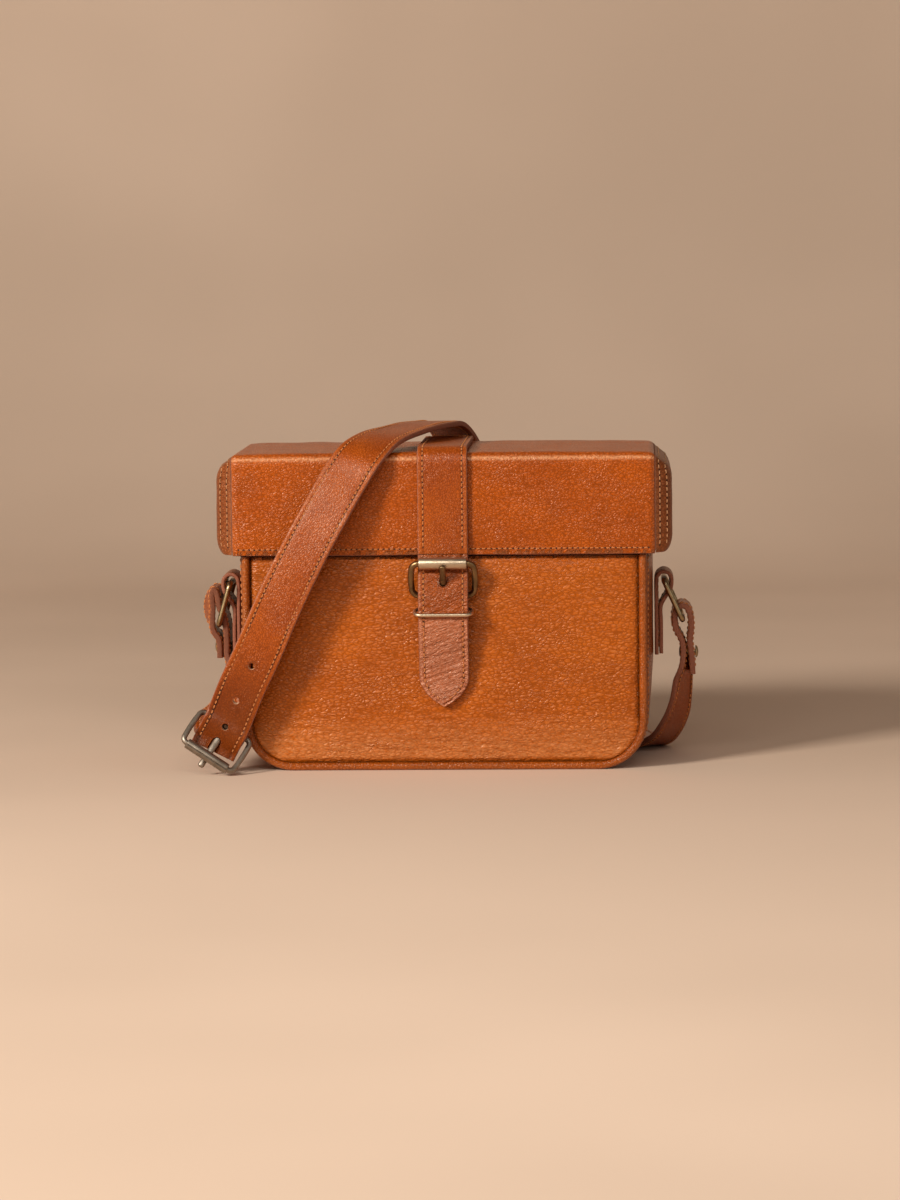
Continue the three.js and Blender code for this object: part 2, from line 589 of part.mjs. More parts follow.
const alongY = [0, 1, 0];
const longStrap = strap([
  [124.9, 0, 44, ...alongY], [124.7, 0, 50, ...alongY], [124.2, 0, 56, ...alongY], [123.6, 0, 61, ...alongY],
  [124.2, 0, 67, ...alongY], [124.0, 0, 73, ...alongY], [122.4, 0, 77.6, ...alongY], [119.8, 0, 79.2, ...alongY],
  [117.0, 0, 77.4, ...alongY], [115.7, 0, 73, ...alongY], [116.4, 0, 67, ...alongY], [119.3, 0, 61.4, ...alongY],
  [120.6, 0, 56, 0.03, 1, 0], [120.9, 0, 50, 0.12, 0.99, 0], [120.2, 2, 43, 0.32, 0.95, 0], [119.0, 6, 32, 0.4, 0.92, 0],
  [116.4, 11, 21, 0.5, 0.86, 0], [112.2, 18.5, 11.5, 0.62, 0.78, 0.08], [106.6, 28, 5, 0.78, 0.62, 0.04],
  [101.8, 40, 1.9, 0.86, 0.5, 0], [97.5, 56, 1.9, 0.92, 0.36, 0], [91.5, 84, 1.9, 0.96, 0.28, 0],
  [84.5, 110, 2.4, 0.96, 0.28, 0], [77.5, 128, 9.5, 0.97, 0.24, 0], [69.0, 133, 25, 0.98, 0.2, 0],
  [55.0, 124, 44, 0.98, 0.1, 0.1], [37.0, 101, 74, 0.97, 0, 0.25], [20.5, 80, 110, 0.96, -0.1, 0.25],
  [8.5, 66, 143, 0.96, -0.2, 0.15], [3.5, 58, 159, 0.95, -0.3, 0.05], [-1.5, 44, 168, 0.93, -0.36, 0],
  [-9.0, 14, 170.8, 0.91, -0.41, 0], [-20.5, -16, 169.8, 0.91, -0.4, -0.06], [-32.5, -41, 166.2, 0.9, -0.38, -0.15],
  [-41.5, -54, 159.0, 0.89, -0.25, -0.35], [-48.5, -59.5, 148.5, 0.88, -0.08, -0.45],
  [-57.0, -59.5, 133, 0.88, 0, -0.47], [-67.0, -59, 115.2, 0.885, 0, -0.465], [-80.7, -60.5, 88, 0.9, 0, -0.43],
  [-92.8, -62, 61, 0.91, 0, -0.41], [-100.3, -60.6, 44.5, 0.9, 0, -0.44],
  station(PIVOT + 4.5, 6.0, -1.5), station(PIVOT, 5.9, -0.9), station(17, 4.8, -0.5), station(14.2, 1.2, -0.1),
  station(10.8, -3.9, 0.4), station(7, -5.9, 0.9),
], STRAP_W, STRAP_T);
const punch = (x, z) => rod([V(x, -78, z), V(x, -50, z)], STRAP_HOLE_R, 12);
const rivetHole = (x0, x1, z) => rod([V(x0, 0, z), V(x1, 0, z)], 1.5, 12);
add('strap_long', 'strap_leather', cut(longStrap, [
  strapProngRod(PRONG_R + 0.8, 3, 14),
  punch(-95.7, 54.9), punch(-103.2, 38.2), punch(-109.0, 24.4),
  rivetHole(118, 128, 54.5),
]));

const short = strap([
  [-116.5, 0, 53.6, ...alongY], [-116.5, 0, 58, ...alongY], [-117.0, 0, 63, ...alongY], [-120.4, 0, 67.5, -0.07, 1, 0],
  [-122.2, 0, 73, -0.2, 0.98, 0], [-122.4, 0, 80, -0.24, 0.97, 0], [-121.3, 0, 86, -0.12, 1, 0], [-119.1, 0, 88.8, ...alongY],
  [-117.6, 0, 86, ...alongY], [-116.6, 0, 80, ...alongY], [-114.3, 0, 74.5, ...alongY], [-113.2, 0, 68, ...alongY],
  [-113.0, 0, 60, ...alongY], [-112.9, -1, 52, ...alongY], [-113.3, -5, 43, -0.2, 0.97, 0],
  [-114.9, -12, 33, -0.45, 0.88, 0.1], [-116.6, -22, 25, -0.72, 0.6, 0.3], [-116.6, -33, 19.5, -0.85, 0.25, 0.45],
  [...local(PIVOT - 2.95, -14).toArray(), ...bu.toArray().map((k) => -k), 2.4],
  ...[[-2.95, -8], [-2.95, -3], [-2.9, 0], [-2.05, 2.05], [0, 2.9], [2.05, 2.05], [2.9, 0], [1.7, -4], [-0.2, -8], [-0.55, -13]]
    .map(([v, n]) => [...local(PIVOT + v, n).toArray(), ...bu.toArray().map((k) => -k), 2.0]),
], STRAP_W, STRAP_T);
const slotHalf = [bu.clone().multiplyScalar(2.6), bu.clone().multiplyScalar(-2.6)];
const slot = rod(slotHalf.map((p) => local(PIVOT, 0).add(p)), 4.6, 12);
add('strap_short', 'strap_leather', cut(short, [slot, rivetHole(-122, -108, 58.5)]));

add('right_rivet', 'antique_brass', rivet(127.9, 54.5, 1, 7.6));
add('left_rivet', 'antique_brass', rivet(-119.8, 58.5, -1, 7.1));

export default bag;
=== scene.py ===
# The looks of a leather box bag: fine meshes, materials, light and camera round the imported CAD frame.
# Shapes are worked out in millimetres in the frame's axes: +X right, +Y back, +Z up. mesh_of() turns them
# into metres.
import math

import bmesh
import bpy
import numpy as np
from mathutils import Matrix, Vector


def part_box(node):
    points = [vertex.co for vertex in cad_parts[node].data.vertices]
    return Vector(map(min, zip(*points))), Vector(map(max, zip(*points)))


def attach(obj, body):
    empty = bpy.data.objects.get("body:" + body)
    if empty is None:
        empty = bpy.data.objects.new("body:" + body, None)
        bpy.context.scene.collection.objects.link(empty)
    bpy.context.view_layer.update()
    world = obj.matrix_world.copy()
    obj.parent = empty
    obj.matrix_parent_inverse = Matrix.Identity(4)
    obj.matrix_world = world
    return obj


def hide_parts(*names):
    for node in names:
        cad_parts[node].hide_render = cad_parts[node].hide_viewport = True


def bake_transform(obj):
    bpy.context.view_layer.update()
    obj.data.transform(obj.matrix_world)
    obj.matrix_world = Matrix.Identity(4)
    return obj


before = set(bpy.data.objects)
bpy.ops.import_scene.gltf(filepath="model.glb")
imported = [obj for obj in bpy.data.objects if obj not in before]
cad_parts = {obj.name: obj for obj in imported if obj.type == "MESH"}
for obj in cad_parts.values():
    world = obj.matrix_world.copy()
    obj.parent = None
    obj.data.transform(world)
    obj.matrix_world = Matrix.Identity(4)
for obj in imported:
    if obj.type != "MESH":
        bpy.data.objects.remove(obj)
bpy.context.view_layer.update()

MM = 0.001
random = np.random.default_rng(11)


def rad(degrees):
    return math.radians(degrees)


def lowest(node):
    """The low corner of a node's box, in millimetres."""
    return np.array(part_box(node)[0]) / MM


def highest(node):
    """The high corner of a node's box, in millimetres."""
    return np.array(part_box(node)[1]) / MM


# ---- camera: the photograph's angle and framing

AIM = Vector((3.05, -46.0, 86.05)) * MM
AZIMUTH, ELEVATION, ROLL = rad(2.48), rad(5.6), rad(-0.6)
DISTANCE = 2.1
LENS = 125.75

away = Vector((
    math.sin(AZIMUTH) * math.cos(ELEVATION),
    -math.cos(AZIMUTH) * math.cos(ELEVATION),
    math.sin(ELEVATION),
))
level = (-away).cross(Vector((0, 0, 1))).normalized()
upright = level.cross(-away)
right = level * math.cos(ROLL) + upright * math.sin(ROLL)
up = upright * math.cos(ROLL) - level * math.sin(ROLL)
camera = bpy.data.objects.new("camera", bpy.data.cameras.new("camera"))
camera.data.lens = LENS
camera.data.clip_start, camera.data.clip_end = 0.05, 50
facing = Matrix((right, up, away)).transposed().to_4x4()
camera.matrix_world = Matrix.Translation(AIM + away * DISTANCE) @ facing
bpy.context.scene.collection.objects.link(camera)
bpy.context.scene.camera = camera


# ---- small geometry helpers

def unit(v):
    """Directions of length 1."""
    v = np.asarray(v, float)
    return v / np.maximum(np.linalg.norm(v, axis=-1, keepdims=True), 1e-12)


def xyz(*parts):
    """Points from their x, y and z, each a number or an array."""
    return np.stack(np.broadcast_arrays(*[np.asarray(p, float) for p in parts]), -1)


def smooth(t):
    """Rises gently from 0 at 0 to 1 at 1."""
    t = np.clip(t, 0, 1)
    return t * t * (3 - 2 * t)


def shoulder(t):
    """A quarter ellipse that rises from 0 to 1."""
    return np.sqrt(1 - (1 - np.clip(t, 0, 1)) ** 2)


def hump(x, width):
    """A bell of height 1 round x = 0."""
    return np.exp(-(np.asarray(x) / width) ** 2)


def lengths(points):
    """Distance along a line of points, from 0."""
    return np.concatenate([[0], np.cumsum(np.linalg.norm(np.diff(points, axis=0), axis=1))])


def spline(knots, per_span, power):
    """Catmull-Rom curve through knots; power 0.25 is the centripetal kind and 0 the even one."""
    knots = np.asarray(knots, float)
    if knots.ndim == 1:
        knots = knots[:, None]
    k = np.vstack([2 * knots[0] - knots[1], knots, 2 * knots[-1] - knots[-2]])
    found = []
    for i in range(len(knots) - 1):
        a, b, c, d = k[i:i + 4]
        steps = (b - a, c - b, d - c)
        t0, t1, t2 = [max((step @ step) ** power, 1e-6) if power else 1.0 for step in steps]
        m1 = ((b - a) / t0 - (c - a) / (t0 + t1) + (c - b) / t1) * t1
        m2 = ((c - b) / t1 - (d - b) / (t1 + t2) + (d - c) / t2) * t1
        last = i == len(knots) - 2
        for f in np.arange(per_span + last) / per_span:
            found.append(b + m1 * f + (3 * (c - b) - 2 * m1 - m2) * f ** 2 + (2 * (b - c) + m1 + m2) * f ** 3)
    return np.array(found)


def along(points, distances, *more):
    """Interpolates points, and any arrays that go with them, at distances along their line."""
    s = lengths(points)
    groups = [np.asarray(a, float).reshape(len(s), -1).T for a in (points, *more)]
    return [np.stack([np.interp(distances, s, column) for column in group], 1) for group in groups]


def ripples(count, shortest, longest, stretch=1.0):
    """A gentle uneven field over two directions, about -1 to 1. stretch lengthens its waves along one."""
    size = np.exp(random.uniform(math.log(shortest), math.log(longest), count))
    turn = random.uniform(0, math.pi, count)
    phase = random.uniform(0, 2 * math.pi, count)

    def field(a, b):
        total = 0.0
        for w, t, p in zip(size, turn, phase):
            total = total + np.sin(2 * math.pi * (np.cos(t) * a / stretch + np.sin(t) * b) / w + p)
        return total / math.sqrt(count)
    return field


class Shape:
    """Closed surfaces under way. Each point has a grain place, which is where it is on the flat hide, and a
    value for wear
    and painted light: above 0 is lighter, from rubbing and painted highlight, and below 0 is darker, from
    dirt and painted shade. Each face has a material."""

    LEATHER, EDGE, THREAD, HOLE, PUNCHED = range(5)
    THREAD_SIDES = 5
    THREAD_RINGS = ((-0.36, -0.55, 0.6), (-0.2, 0.35, 0.95), (0.2, 0.35, 0.95), (0.36, -0.55, 0.6))
    THREAD_SPOTS = (-1.2, -0.6, 0.6, 1.2)
    THREAD_TILT = 0.10
    HOLE_SIDES, HOLE_LONG, HOLE_WIDE = 6, 0.58, 0.52

    def __init__(self):
        self.points, self.grain, self.wear, self.faces, self.slots = [], [], [], [], []
        self.count = 0

    def add(self, points, faces, slot, grain=None, wear=0.0):
        points = np.asarray(points, float)
        flat = points.reshape(-1, 3)
        self.points.append(flat)
        self.grain.append(flat if grain is None else np.broadcast_to(grain, points.shape).reshape(-1, 3))
        self.wear.append(np.broadcast_to(wear, points.shape[:-1]).reshape(-1))
        self.faces.extend([[k + self.count for k in f] for f in faces])
        slots = np.broadcast_to(slot, len(faces))
        self.slots.extend(int(s) for s in slots)
        self.count += len(flat)

    def grid(self, points, loop_u=False, loop_v=False, slot=0, grain=None, wear=0.0, capped=False):
        """Rows of points [row, column, xyz], joined by quads. slot may be one number a column."""
        rows, cols = points.shape[:2]
        i = np.arange(rows if loop_v else rows - 1)[:, None]
        j = np.arange(cols if loop_u else cols - 1)[None, :]
        corners = [(i, j), (i, j + 1), (i + 1, j + 1), (i + 1, j)]
        quads = np.stack([(a % rows) * cols + b % cols + 0 * (i + j) for a, b in corners], -1)
        slots = np.broadcast_to(slot, quads.shape[:2]).reshape(-1)
        faces = quads.reshape(-1, 4).tolist()
        if capped:
            faces += [list(range(cols)), list(range((rows - 1) * cols, rows * cols))[::-1]]
            slots = np.concatenate([slots, [self.EDGE if capped == "edge" else slots[0]] * 2])
        self.add(points, faces, slots, grain, wear)

    def sheet(self, outer, inner, slot=0, grain=None, wear=0.0, edge=1, bulge=0.35, steps=4):
        """A thick sheet from its two sides, with a rounded rim between them."""
        self.grid(outer, slot=slot, grain=grain, wear=wear)
        self.grid(inner, slot=slot, grain=grain)
        rows, cols = outer.shape[:2]
        r = [0] * (cols - 1) + list(range(rows - 1)) + [rows - 1] * (cols - 1) + list(range(rows - 1, 0, -1))
        c = list(range(cols - 1)) + [cols - 1] * (rows - 1) + list(range(cols - 1, 0, -1)) + [0] * (rows - 1)
        o, i = outer[r, c], inner[r, c]
        half = (o - i) / 2
        out = o - outer[np.clip(r, 1, rows - 2), np.clip(c, 1, cols - 2)]
        thick = np.linalg.norm(half, axis=1, keepdims=True)
        out = unit(out - np.sum(out * half, axis=1, keepdims=True) * half / thick ** 2)
        turns = np.linspace(0, math.pi, steps + 1)
        rim = [(o + i) / 2 + half * math.cos(t) + out * thick * bulge * math.sin(t) for t in turns]
        self.grid(np.array(rim), loop_u=True, slot=edge, wear=0.3)

    def stitches(self, points, normals, pitch=3.2, thread=0.4):
        """A row of stitches on a surface: an arched thread for each, and a dark hole between each two."""
        s = lengths(points)
        count = int(s[-1] / pitch)
        if count < 1:
            return
        offset = (s[-1] - count * pitch) / 2
        middles = offset + (np.arange(count) + 0.5) * pitch
        middles = middles + random.uniform(-0.12, 0.12, count)
        place, normal = along(points, middles, normals)
        ahead, behind = along(points, middles + pitch / 2)[0], along(points, middles - pitch / 2)[0]
        tangent = unit(ahead - behind)
        normal = unit(normal - np.sum(normal * tangent, axis=1, keepdims=True) * tangent)
        side = np.cross(tangent, normal)
        side_tilt = unit(side + tangent * self.THREAD_TILT)
        n, m = self.THREAD_SIDES, self.HOLE_SIDES
        rings = []
        for at, high, wide in self.THREAD_RINGS:
            centre = place + tangent * at * pitch + normal * high * thread
            for k in range(n):
                turn = 2 * math.pi * k / n
                way = side_tilt * math.cos(turn) + normal * math.sin(turn)
                rings.append(centre + way * thread * wide)
        rings = np.stack(rings, 1)
        size = rings.shape[1]
        one = []
        for start in range(0, size - n, n):
            for a, b in [(k, (k + 1) % n) for k in range(n)]:
                one.append([start + a, start + b, start + n + b, start + n + a])
        one += [list(range(n)), list(range(size - 1, size - n - 1, -1))]
        faces = [[v + size * i for v in f] for i in range(count) for f in one]
        spot = np.zeros_like(rings)
        spot[..., 0] = s[-1] + (np.arange(count) * pitch)[:, None] + np.repeat(self.THREAD_SPOTS, n)
        spot[..., 1] = np.tile(np.arange(n) * 0.4, len(self.THREAD_RINGS))
        self.add(rings, faces, self.THREAD, grain=spot)
        holes = offset + np.arange(count + 1) * pitch
        place, normal, tangent = along(points, holes, normals, np.gradient(points, axis=0))
        tangent, normal_way = unit(tangent), unit(normal)
        side = np.cross(tangent, normal_way)
        ring = []
        for t in np.linspace(0, 2 * math.pi, m, endpoint=False):
            out = tangent * math.cos(t) * self.HOLE_LONG + side * math.sin(t) * self.HOLE_WIDE
            ring.append(place + out + normal_way * 0.02)
        lens = np.stack([*ring, place + normal_way * 0.07, place - normal_way * 0.3], 1)
        one = [[k, (k + 1) % m, m] for k in range(m)] + [[(k + 1) % m, k, m + 1] for k in range(m)]
        faces = [[v + (m + 2) * i for v in f] for i in range(count + 1) for f in one]
        self.add(lens, faces, self.HOLE)


def mesh_of(name, shape):
    """A shape as a mesh in metres, with its doubled points joined and its faces turned outwards."""
    mesh = bpy.data.meshes.new(name)
    mesh.from_pydata((np.concatenate(shape.points) * MM).tolist(), [], shape.faces)
    grain = mesh.attributes.new("grain", "FLOAT_VECTOR", "POINT")
    grain.data.foreach_set("vector", np.concatenate(shape.grain).astype(np.float32).ravel())
    wear = mesh.attributes.new("wear", "FLOAT", "POINT")
    wear.data.foreach_set("value", np.concatenate(shape.wear).astype(np.float32))
    mesh.polygons.foreach_set("material_index", np.array(shape.slots, np.int32))
    b = bmesh.new()
    b.from_mesh(mesh)
    bmesh.ops.remove_doubles(b, verts=b.verts, dist=1e-6)
    bmesh.ops.recalc_face_normals(b, faces=b.faces)
    b.to_mesh(mesh)
    b.free()
    return mesh


def link(name, mesh):
    obj = bpy.data.objects.new(name, mesh)
    bpy.context.scene.collection.objects.link(obj)
    return obj


def evaluated(obj):
    """A new mesh of the object with its modifiers applied."""
    bpy.context.view_layer.update()
    return bpy.data.meshes.new_from_object(obj.evaluated_get(bpy.context.evaluated_depsgraph_get()))


def finish_piece(name, shape, materials, body, nodes, holes=None, thread=None, sharp=40):
    """Makes a shape an object: cuts holes out of it, adds its stitching, and gives it materials, and a body
    when body is a name.
    body is a body's name, or (body, body, start, end) in millimetres, which is not used: such a piece only
    has its transform baked in."""
    mesh = mesh_of(name, shape)
    for m in materials:
        mesh.materials.append(m)
    obj = link(name, mesh)
    if holes is not None:
        cutter = link(name + "_cutter", mesh_of(name + "_cutter", holes))
        for m in materials:
            cutter.data.materials.append(m)
        tool = obj.modifiers.new("holes", "BOOLEAN")
        tool.operation, tool.solver, tool.object = "DIFFERENCE", "EXACT", cutter
        cutter_mesh, obj.data = cutter.data, evaluated(obj)
        obj.modifiers.clear()
        bpy.data.objects.remove(cutter)
        bpy.data.meshes.remove(cutter_mesh)
    if thread is not None and thread.count:
        rows = mesh_of(name + "_thread", thread)
        b = bmesh.new()
        b.from_mesh(obj.data)
        b.from_mesh(rows)
        b.to_mesh(obj.data)
        b.free()
        bpy.data.meshes.remove(rows)
    obj.data.polygons.foreach_set("use_smooth", [True] * len(obj.data.polygons))
    obj.data.set_sharp_from_angle(angle=rad(sharp))
    if isinstance(body, str):
        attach(obj, body)
    else:
        a, b, start, end = body
        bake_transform(obj)
    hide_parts(*nodes)


# ---- materials: textures read the grain attribute, in millimetres, so they stay on the hide in every pose

class Look:
    """A material under way: its node tree, and short ways to add nodes to it."""

    def __init__(self, name, **constants):
        self.material = bpy.data.materials.new(name)
        self.material.use_nodes = True
        self.tree = self.material.node_tree
        self.shader = self.tree.nodes["Principled BSDF"]
        for socket, value in constants.items():
            self.shader.inputs[socket.replace("_", " ")].default_value = value

    def node(self, kind, inputs, output=0, **settings):
        made = self.tree.nodes.new("ShaderNode" + kind)
        for key, value in settings.items():
            setattr(made, key, value)
        for key, value in inputs.items():
            if isinstance(value, bpy.types.NodeSocket):
                self.tree.links.new(value, made.inputs[key])
            else:
                made.inputs[key].default_value = value
        return made.outputs[output]

    def attribute(self, name, output):
        return self.node("Attribute", {}, output, attribute_name=name)

    def place(self, scale=(1, 1, 1)):
        return self.node("VectorMath", {0: self.attribute("grain", "Vector"), 1: scale}, operation="MULTIPLY")

    def noise(self, place, scale, detail=3.0, rough=0.5, output=0):
        inputs = {"Vector": place, "Scale": scale, "Detail": detail, "Roughness": rough}
        return self.node("TexNoise", inputs, output)

    def cells(self, place, scale, feature="DISTANCE_TO_EDGE"):
        return self.node("TexVoronoi", {"Vector": place, "Scale": scale}, "Distance", feature=feature)

    def math(self, operation, a, b=0.0, clamp=False):
        return self.node("Math", {0: a, 1: b}, operation=operation, use_clamp=clamp)

    def remap(self, value, low, high, to_low=0.0, to_high=1.0):
        return self.node("MapRange", {
            "Value": value, "From Min": low, "From Max": high, "To Min": to_low, "To Max": to_high,
        }, interpolation_type="SMOOTHSTEP")

    def mix(self, share, a, b):
        a, b = [v if isinstance(v, bpy.types.NodeSocket) else (*v, 1) for v in (a, b)]
        return self.node("Mix", {0: share, 6: a, 7: b}, 2, data_type="RGBA")

    def bump(self, *layers):
        """layers are (height, depth in millimetres)."""
        normal = None
        for height, depth in layers:
            inputs = {"Height": height, "Strength": 1.0, "Distance": depth * MM}
            if normal:
                inputs["Normal"] = normal
            normal = self.node("Bump", inputs)
        self.tree.links.new(normal, self.shader.inputs["Normal"])

    def put(self, socket, value):
        self.tree.links.new(value, self.shader.inputs[socket])


def leather(
    name, base, dark, light, pebble=1.2, depth=0.2, shine=(0.3, 0.5), wrinkle=0.03, stretch=(1, 1, 1),
    specular=0.4, fold=(0.05, 0.22, 0.22), crease_shade=0.6, pebble_highlight=0.2,
):
    """Dyed hide: raised pebbles with creases between, uneven dye, seams darker from dirt and painted shade,
    and edges lighter from rubbing and painted highlight. pebble and depth are millimetres, shine is its range
    of roughness, the crease and top amounts say how much painted shade darkens the creases and painted
    highlight lightens the pebble tops, and fold and wrinkle set its broad folds."""
    k = Look(name, Specular_IOR_Level=specular, Specular_Tint=(1.0, 0.8, 0.62, 1))
    place = k.place(stretch)
    drift = k.noise(place, 0.3, 3.0, output="Color")
    drift = k.node("VectorMath", {0: drift, "Scale": 2.6}, operation="SCALE")
    bent = k.node("VectorMath", {0: place, 1: drift})
    creases = k.cells(bent, 1 / pebble)
    broad = k.cells(bent, 0.45 / pebble)
    firm = k.remap(k.noise(place, 0.06, 2.0), 0.35, 0.65, 0.4, 1.0)
    mottle = k.noise(place, 0.035, 4.0, 0.6)
    grainy = k.noise(place, 0.9, 4.0, 0.6)
    folds = k.noise(k.place(fold), 1.0, 3.0, 0.55)
    wear = k.attribute("wear", "Fac")
    worn_and_painted_highlight = k.math("MULTIPLY", k.math("MAXIMUM", wear, 0.0), k.remap(grainy, 0.2, 0.65), True)
    dirt_and_painted_shade = k.math("MAXIMUM", k.math("MULTIPLY", wear, -1.0), 0.0, True)
    colour = k.mix(k.remap(mottle, 0.3, 0.72), dark, base)
    colour = k.mix(k.math("MULTIPLY", k.remap(grainy, 0.5, 0.8), 0.2), colour, light)
    # painted highlight: the pebble tops are lightened as if lit
    colour = k.mix(k.math("MULTIPLY", k.remap(creases, 0.12, 0.4, 0.0, pebble_highlight), firm), colour, light)
    # painted shade: the creases between the pebbles are darkened
    colour = k.mix(k.remap(creases, 0.2, 0.0, 0.0, crease_shade), colour, [c * 0.4 for c in dark])
    # lighter where the per-point value is above 0: rubbed edges, and painted highlights on the lid's bends,
    # the panel's lower part and the tongue
    colour = k.mix(k.math("MULTIPLY", worn_and_painted_highlight, 0.8), colour, light)
    # darker where it is below 0: dirt and painted shade in seams and stitch grooves, and painted shade on the
    # shoulder strap's lower end
    colour = k.mix(k.math("MULTIPLY", dirt_and_painted_shade, 0.85), colour, [c * 0.22 for c in dark])
    k.put("Base Color", colour)
    k.put("Roughness", k.remap(grainy, 0.3, 0.7, *shine))
    height = k.math("ADD", k.remap(creases, 0.0, 0.42), k.math("MULTIPLY", k.remap(broad, 0.0, 0.3), 0.45))
    height = k.math("MULTIPLY", height, firm)
    k.bump((folds, wrinkle * 6), (height, depth), (grainy, depth * 0.25))
    return k.material


def raw_edge(name, base, dark):
    """The cut edge of a hide: fibres in layers, some dye soaked in."""
    k = Look(name, Specular_IOR_Level=0.25)
    fibres = k.noise(k.place((0.25, 0.25, 1.0)), 4.0, 4.0, 0.7)
    blots = k.noise(k.place(), 0.25, 3.0)
    colour = k.mix(k.remap(fibres, 0.3, 0.7), dark, base)
    colour = k.mix(k.remap(blots, 0.5, 0.75, 0.0, 0.6), colour, dark)
    k.put("Base Color", colour)
    k.put("Roughness", k.remap(fibres, 0.3, 0.7, 0.62, 0.85))
    k.bump((fibres, 0.12))
    return k.material


def thread_look(name, base, dark):
    """Twisted sewing thread."""
    k = Look(name, Specular_IOR_Level=0.35)
    twist = k.node("TexWave", {
        "Vector": k.place(), "Scale": 0.8, "Distortion": 0.6, "Detail": 1.0,
    }, "Fac", bands_direction="DIAGONAL")
    soil = k.noise(k.place(), 0.08, 2.0)
    colour = k.mix(twist, dark, base)
    k.put("Base Color", k.mix(k.remap(soil, 0.45, 0.7, 0.0, 0.5), colour, dark))
    k.put("Roughness", k.remap(twist, 0, 1, 0.75, 0.6))
    k.bump((twist, 0.08))
    return k.material


def metal(name, base, dark, shine, tarnish):
    """Plated metal with cloudy tarnish and fine rubbing marks."""
    k = Look(name, Metallic=1.0)
    clouds = k.noise(k.place(), 0.22, 5.0, 0.65)
    specks = k.noise(k.place(), 2.5, 3.0, 0.6)
    marks = k.noise(k.place((1.0, 7.0, 7.0)), 0.7, 3.0, 0.7)
    rubbed = k.math("MAXIMUM", k.attribute("wear", "Fac"), 0.0, True)
    share = k.math("MULTIPLY", k.remap(clouds, 0.4, 0.7), tarnish)
    colour = k.mix(share, base, dark)
    colour = k.mix(k.math("MULTIPLY", rubbed, 0.7), colour, [min(1, c * 1.5) for c in base])
    k.put("Base Color", k.mix(k.remap(specks, 0.62, 0.75, 0.0, 0.5), colour, dark))
    k.put("Roughness", k.remap(k.math("ADD", clouds, k.math("MULTIPLY", marks, 0.5)), 0.45, 1.0, *shine))
    k.bump((marks, 0.006), (specks, 0.008))
    return k.material


def suede(name, base, dark):
    """Napped lining with lighter and darker strokes."""
    k = Look(name, Specular_IOR_Level=0.2, Sheen_Weight=0.35, Sheen_Roughness=0.5)
    strokes = k.noise(k.place((1.0, 0.45, 0.8)), 0.06, 4.0, 0.6)
    nap = k.noise(k.place(), 3.2, 4.0, 0.7)
    colour = k.mix(k.remap(strokes, 0.35, 0.68), dark, base)
    k.put("Base Color", k.mix(k.remap(nap, 0.5, 0.75, 0.0, 0.35), colour, dark))
    k.put("Roughness", k.remap(nap, 0.3, 0.7, 0.82, 0.95))
    k.bump((nap, 0.18), (strokes, 0.3))
    return k.material


def fibre_board(name, base, dark):
    """Pressed board. CAD nodes have no grain attribute, so it reads the mesh's own coordinates, in metres."""
    k = Look(name, Specular_IOR_Level=0.2)
    own = k.node("TexCoord", {}, "Object")
    fibres = k.noise(own, 900.0, 4.0, 0.7)
    flecks = k.cells(own, 260.0, "F1")
    colour = k.mix(k.remap(fibres, 0.35, 0.65), dark, base)
    k.put("Base Color", k.mix(k.remap(flecks, 0.0, 0.35, 0.5, 0.0), colour, dark))
    k.put("Roughness", k.remap(fibres, 0.3, 0.7, 0.8, 0.95))
    k.bump((fibres, 0.1))
    return k.material


# each light colour below is also the colour of that leather's painted highlights
panel_leather = leather(
    "panel_leather", base=(0.47, 0.098, 0.003), dark=(0.38, 0.073, 0.002), light=(0.76, 0.33, 0.12),
    pebble=1.45, depth=0.28, shine=(0.25, 0.38), stretch=(0.5, 1, 1), wrinkle=0.11, crease_shade=0.5, pebble_highlight=0.14,
    fold=(0.09, 0.4, 0.4),
)
lid_leather = leather(
    "lid_leather", base=(0.45, 0.081, 0.0012), dark=(0.355, 0.059, 0.001), light=(0.80, 0.40, 0.19),
    pebble=1.25, depth=0.22, shine=(0.25, 0.37), stretch=(0.7, 1, 1), wrinkle=0.06, specular=0.35, pebble_highlight=0.06,
    fold=(0.1, 0.35, 0.35),
)
strap_leather = leather(
    "strap_leather", base=(0.41, 0.074, 0.001), dark=(0.29, 0.044, 0.0008), light=(0.54, 0.16, 0.04),
    pebble=0.95, depth=0.12, shine=(0.3, 0.44), wrinkle=0, stretch=(0.7, 1, 1), specular=0.45,
)
# its light colour is also the pink of the tongue's painted sheen
tongue_leather = leather(
    "tongue_leather", base=(0.37, 0.068, 0.002), dark=(0.26, 0.042, 0.0012), light=(0.60, 0.25, 0.145),
    shine=(0.24, 0.36), wrinkle=0.3, stretch=(1.3, 0.6, 1), specular=0.5, fold=(0.38, 0.07, 0.2),
)
end_leather = leather(
    "end_leather", base=(0.30, 0.072, 0.012), dark=(0.22, 0.046, 0.007), light=(0.48, 0.19, 0.08),
    depth=0.16, shine=(0.34, 0.5), wrinkle=0, specular=0.5,
)
gusset_leather = leather(
    "gusset_leather", base=(0.38, 0.074, 0.003), dark=(0.28, 0.050, 0.002), light=(0.50, 0.16, 0.045),
    pebble=1.3, depth=0.24, shine=(0.22, 0.36),
)
edge_leather = raw_edge("edge_leather", base=(0.37, 0.14, 0.08), dark=(0.20, 0.06, 0.03))
punched_edge = raw_edge("punched_edge", base=(0.66, 0.44, 0.28), dark=(0.42, 0.22, 0.12))
dark_edge = raw_edge("dark_edge", base=(0.26, 0.09, 0.045), dark=(0.12, 0.036, 0.016))
thread = thread_look("thread", base=(0.68, 0.26, 0.08), dark=(0.38, 0.11, 0.026))
pale_thread = thread_look("pale_thread", base=(0.66, 0.36, 0.17), dark=(0.36, 0.15, 0.06))
hole_dark = raw_edge("stitch_hole", base=(0.085, 0.022, 0.006), dark=(0.04, 0.011, 0.004))
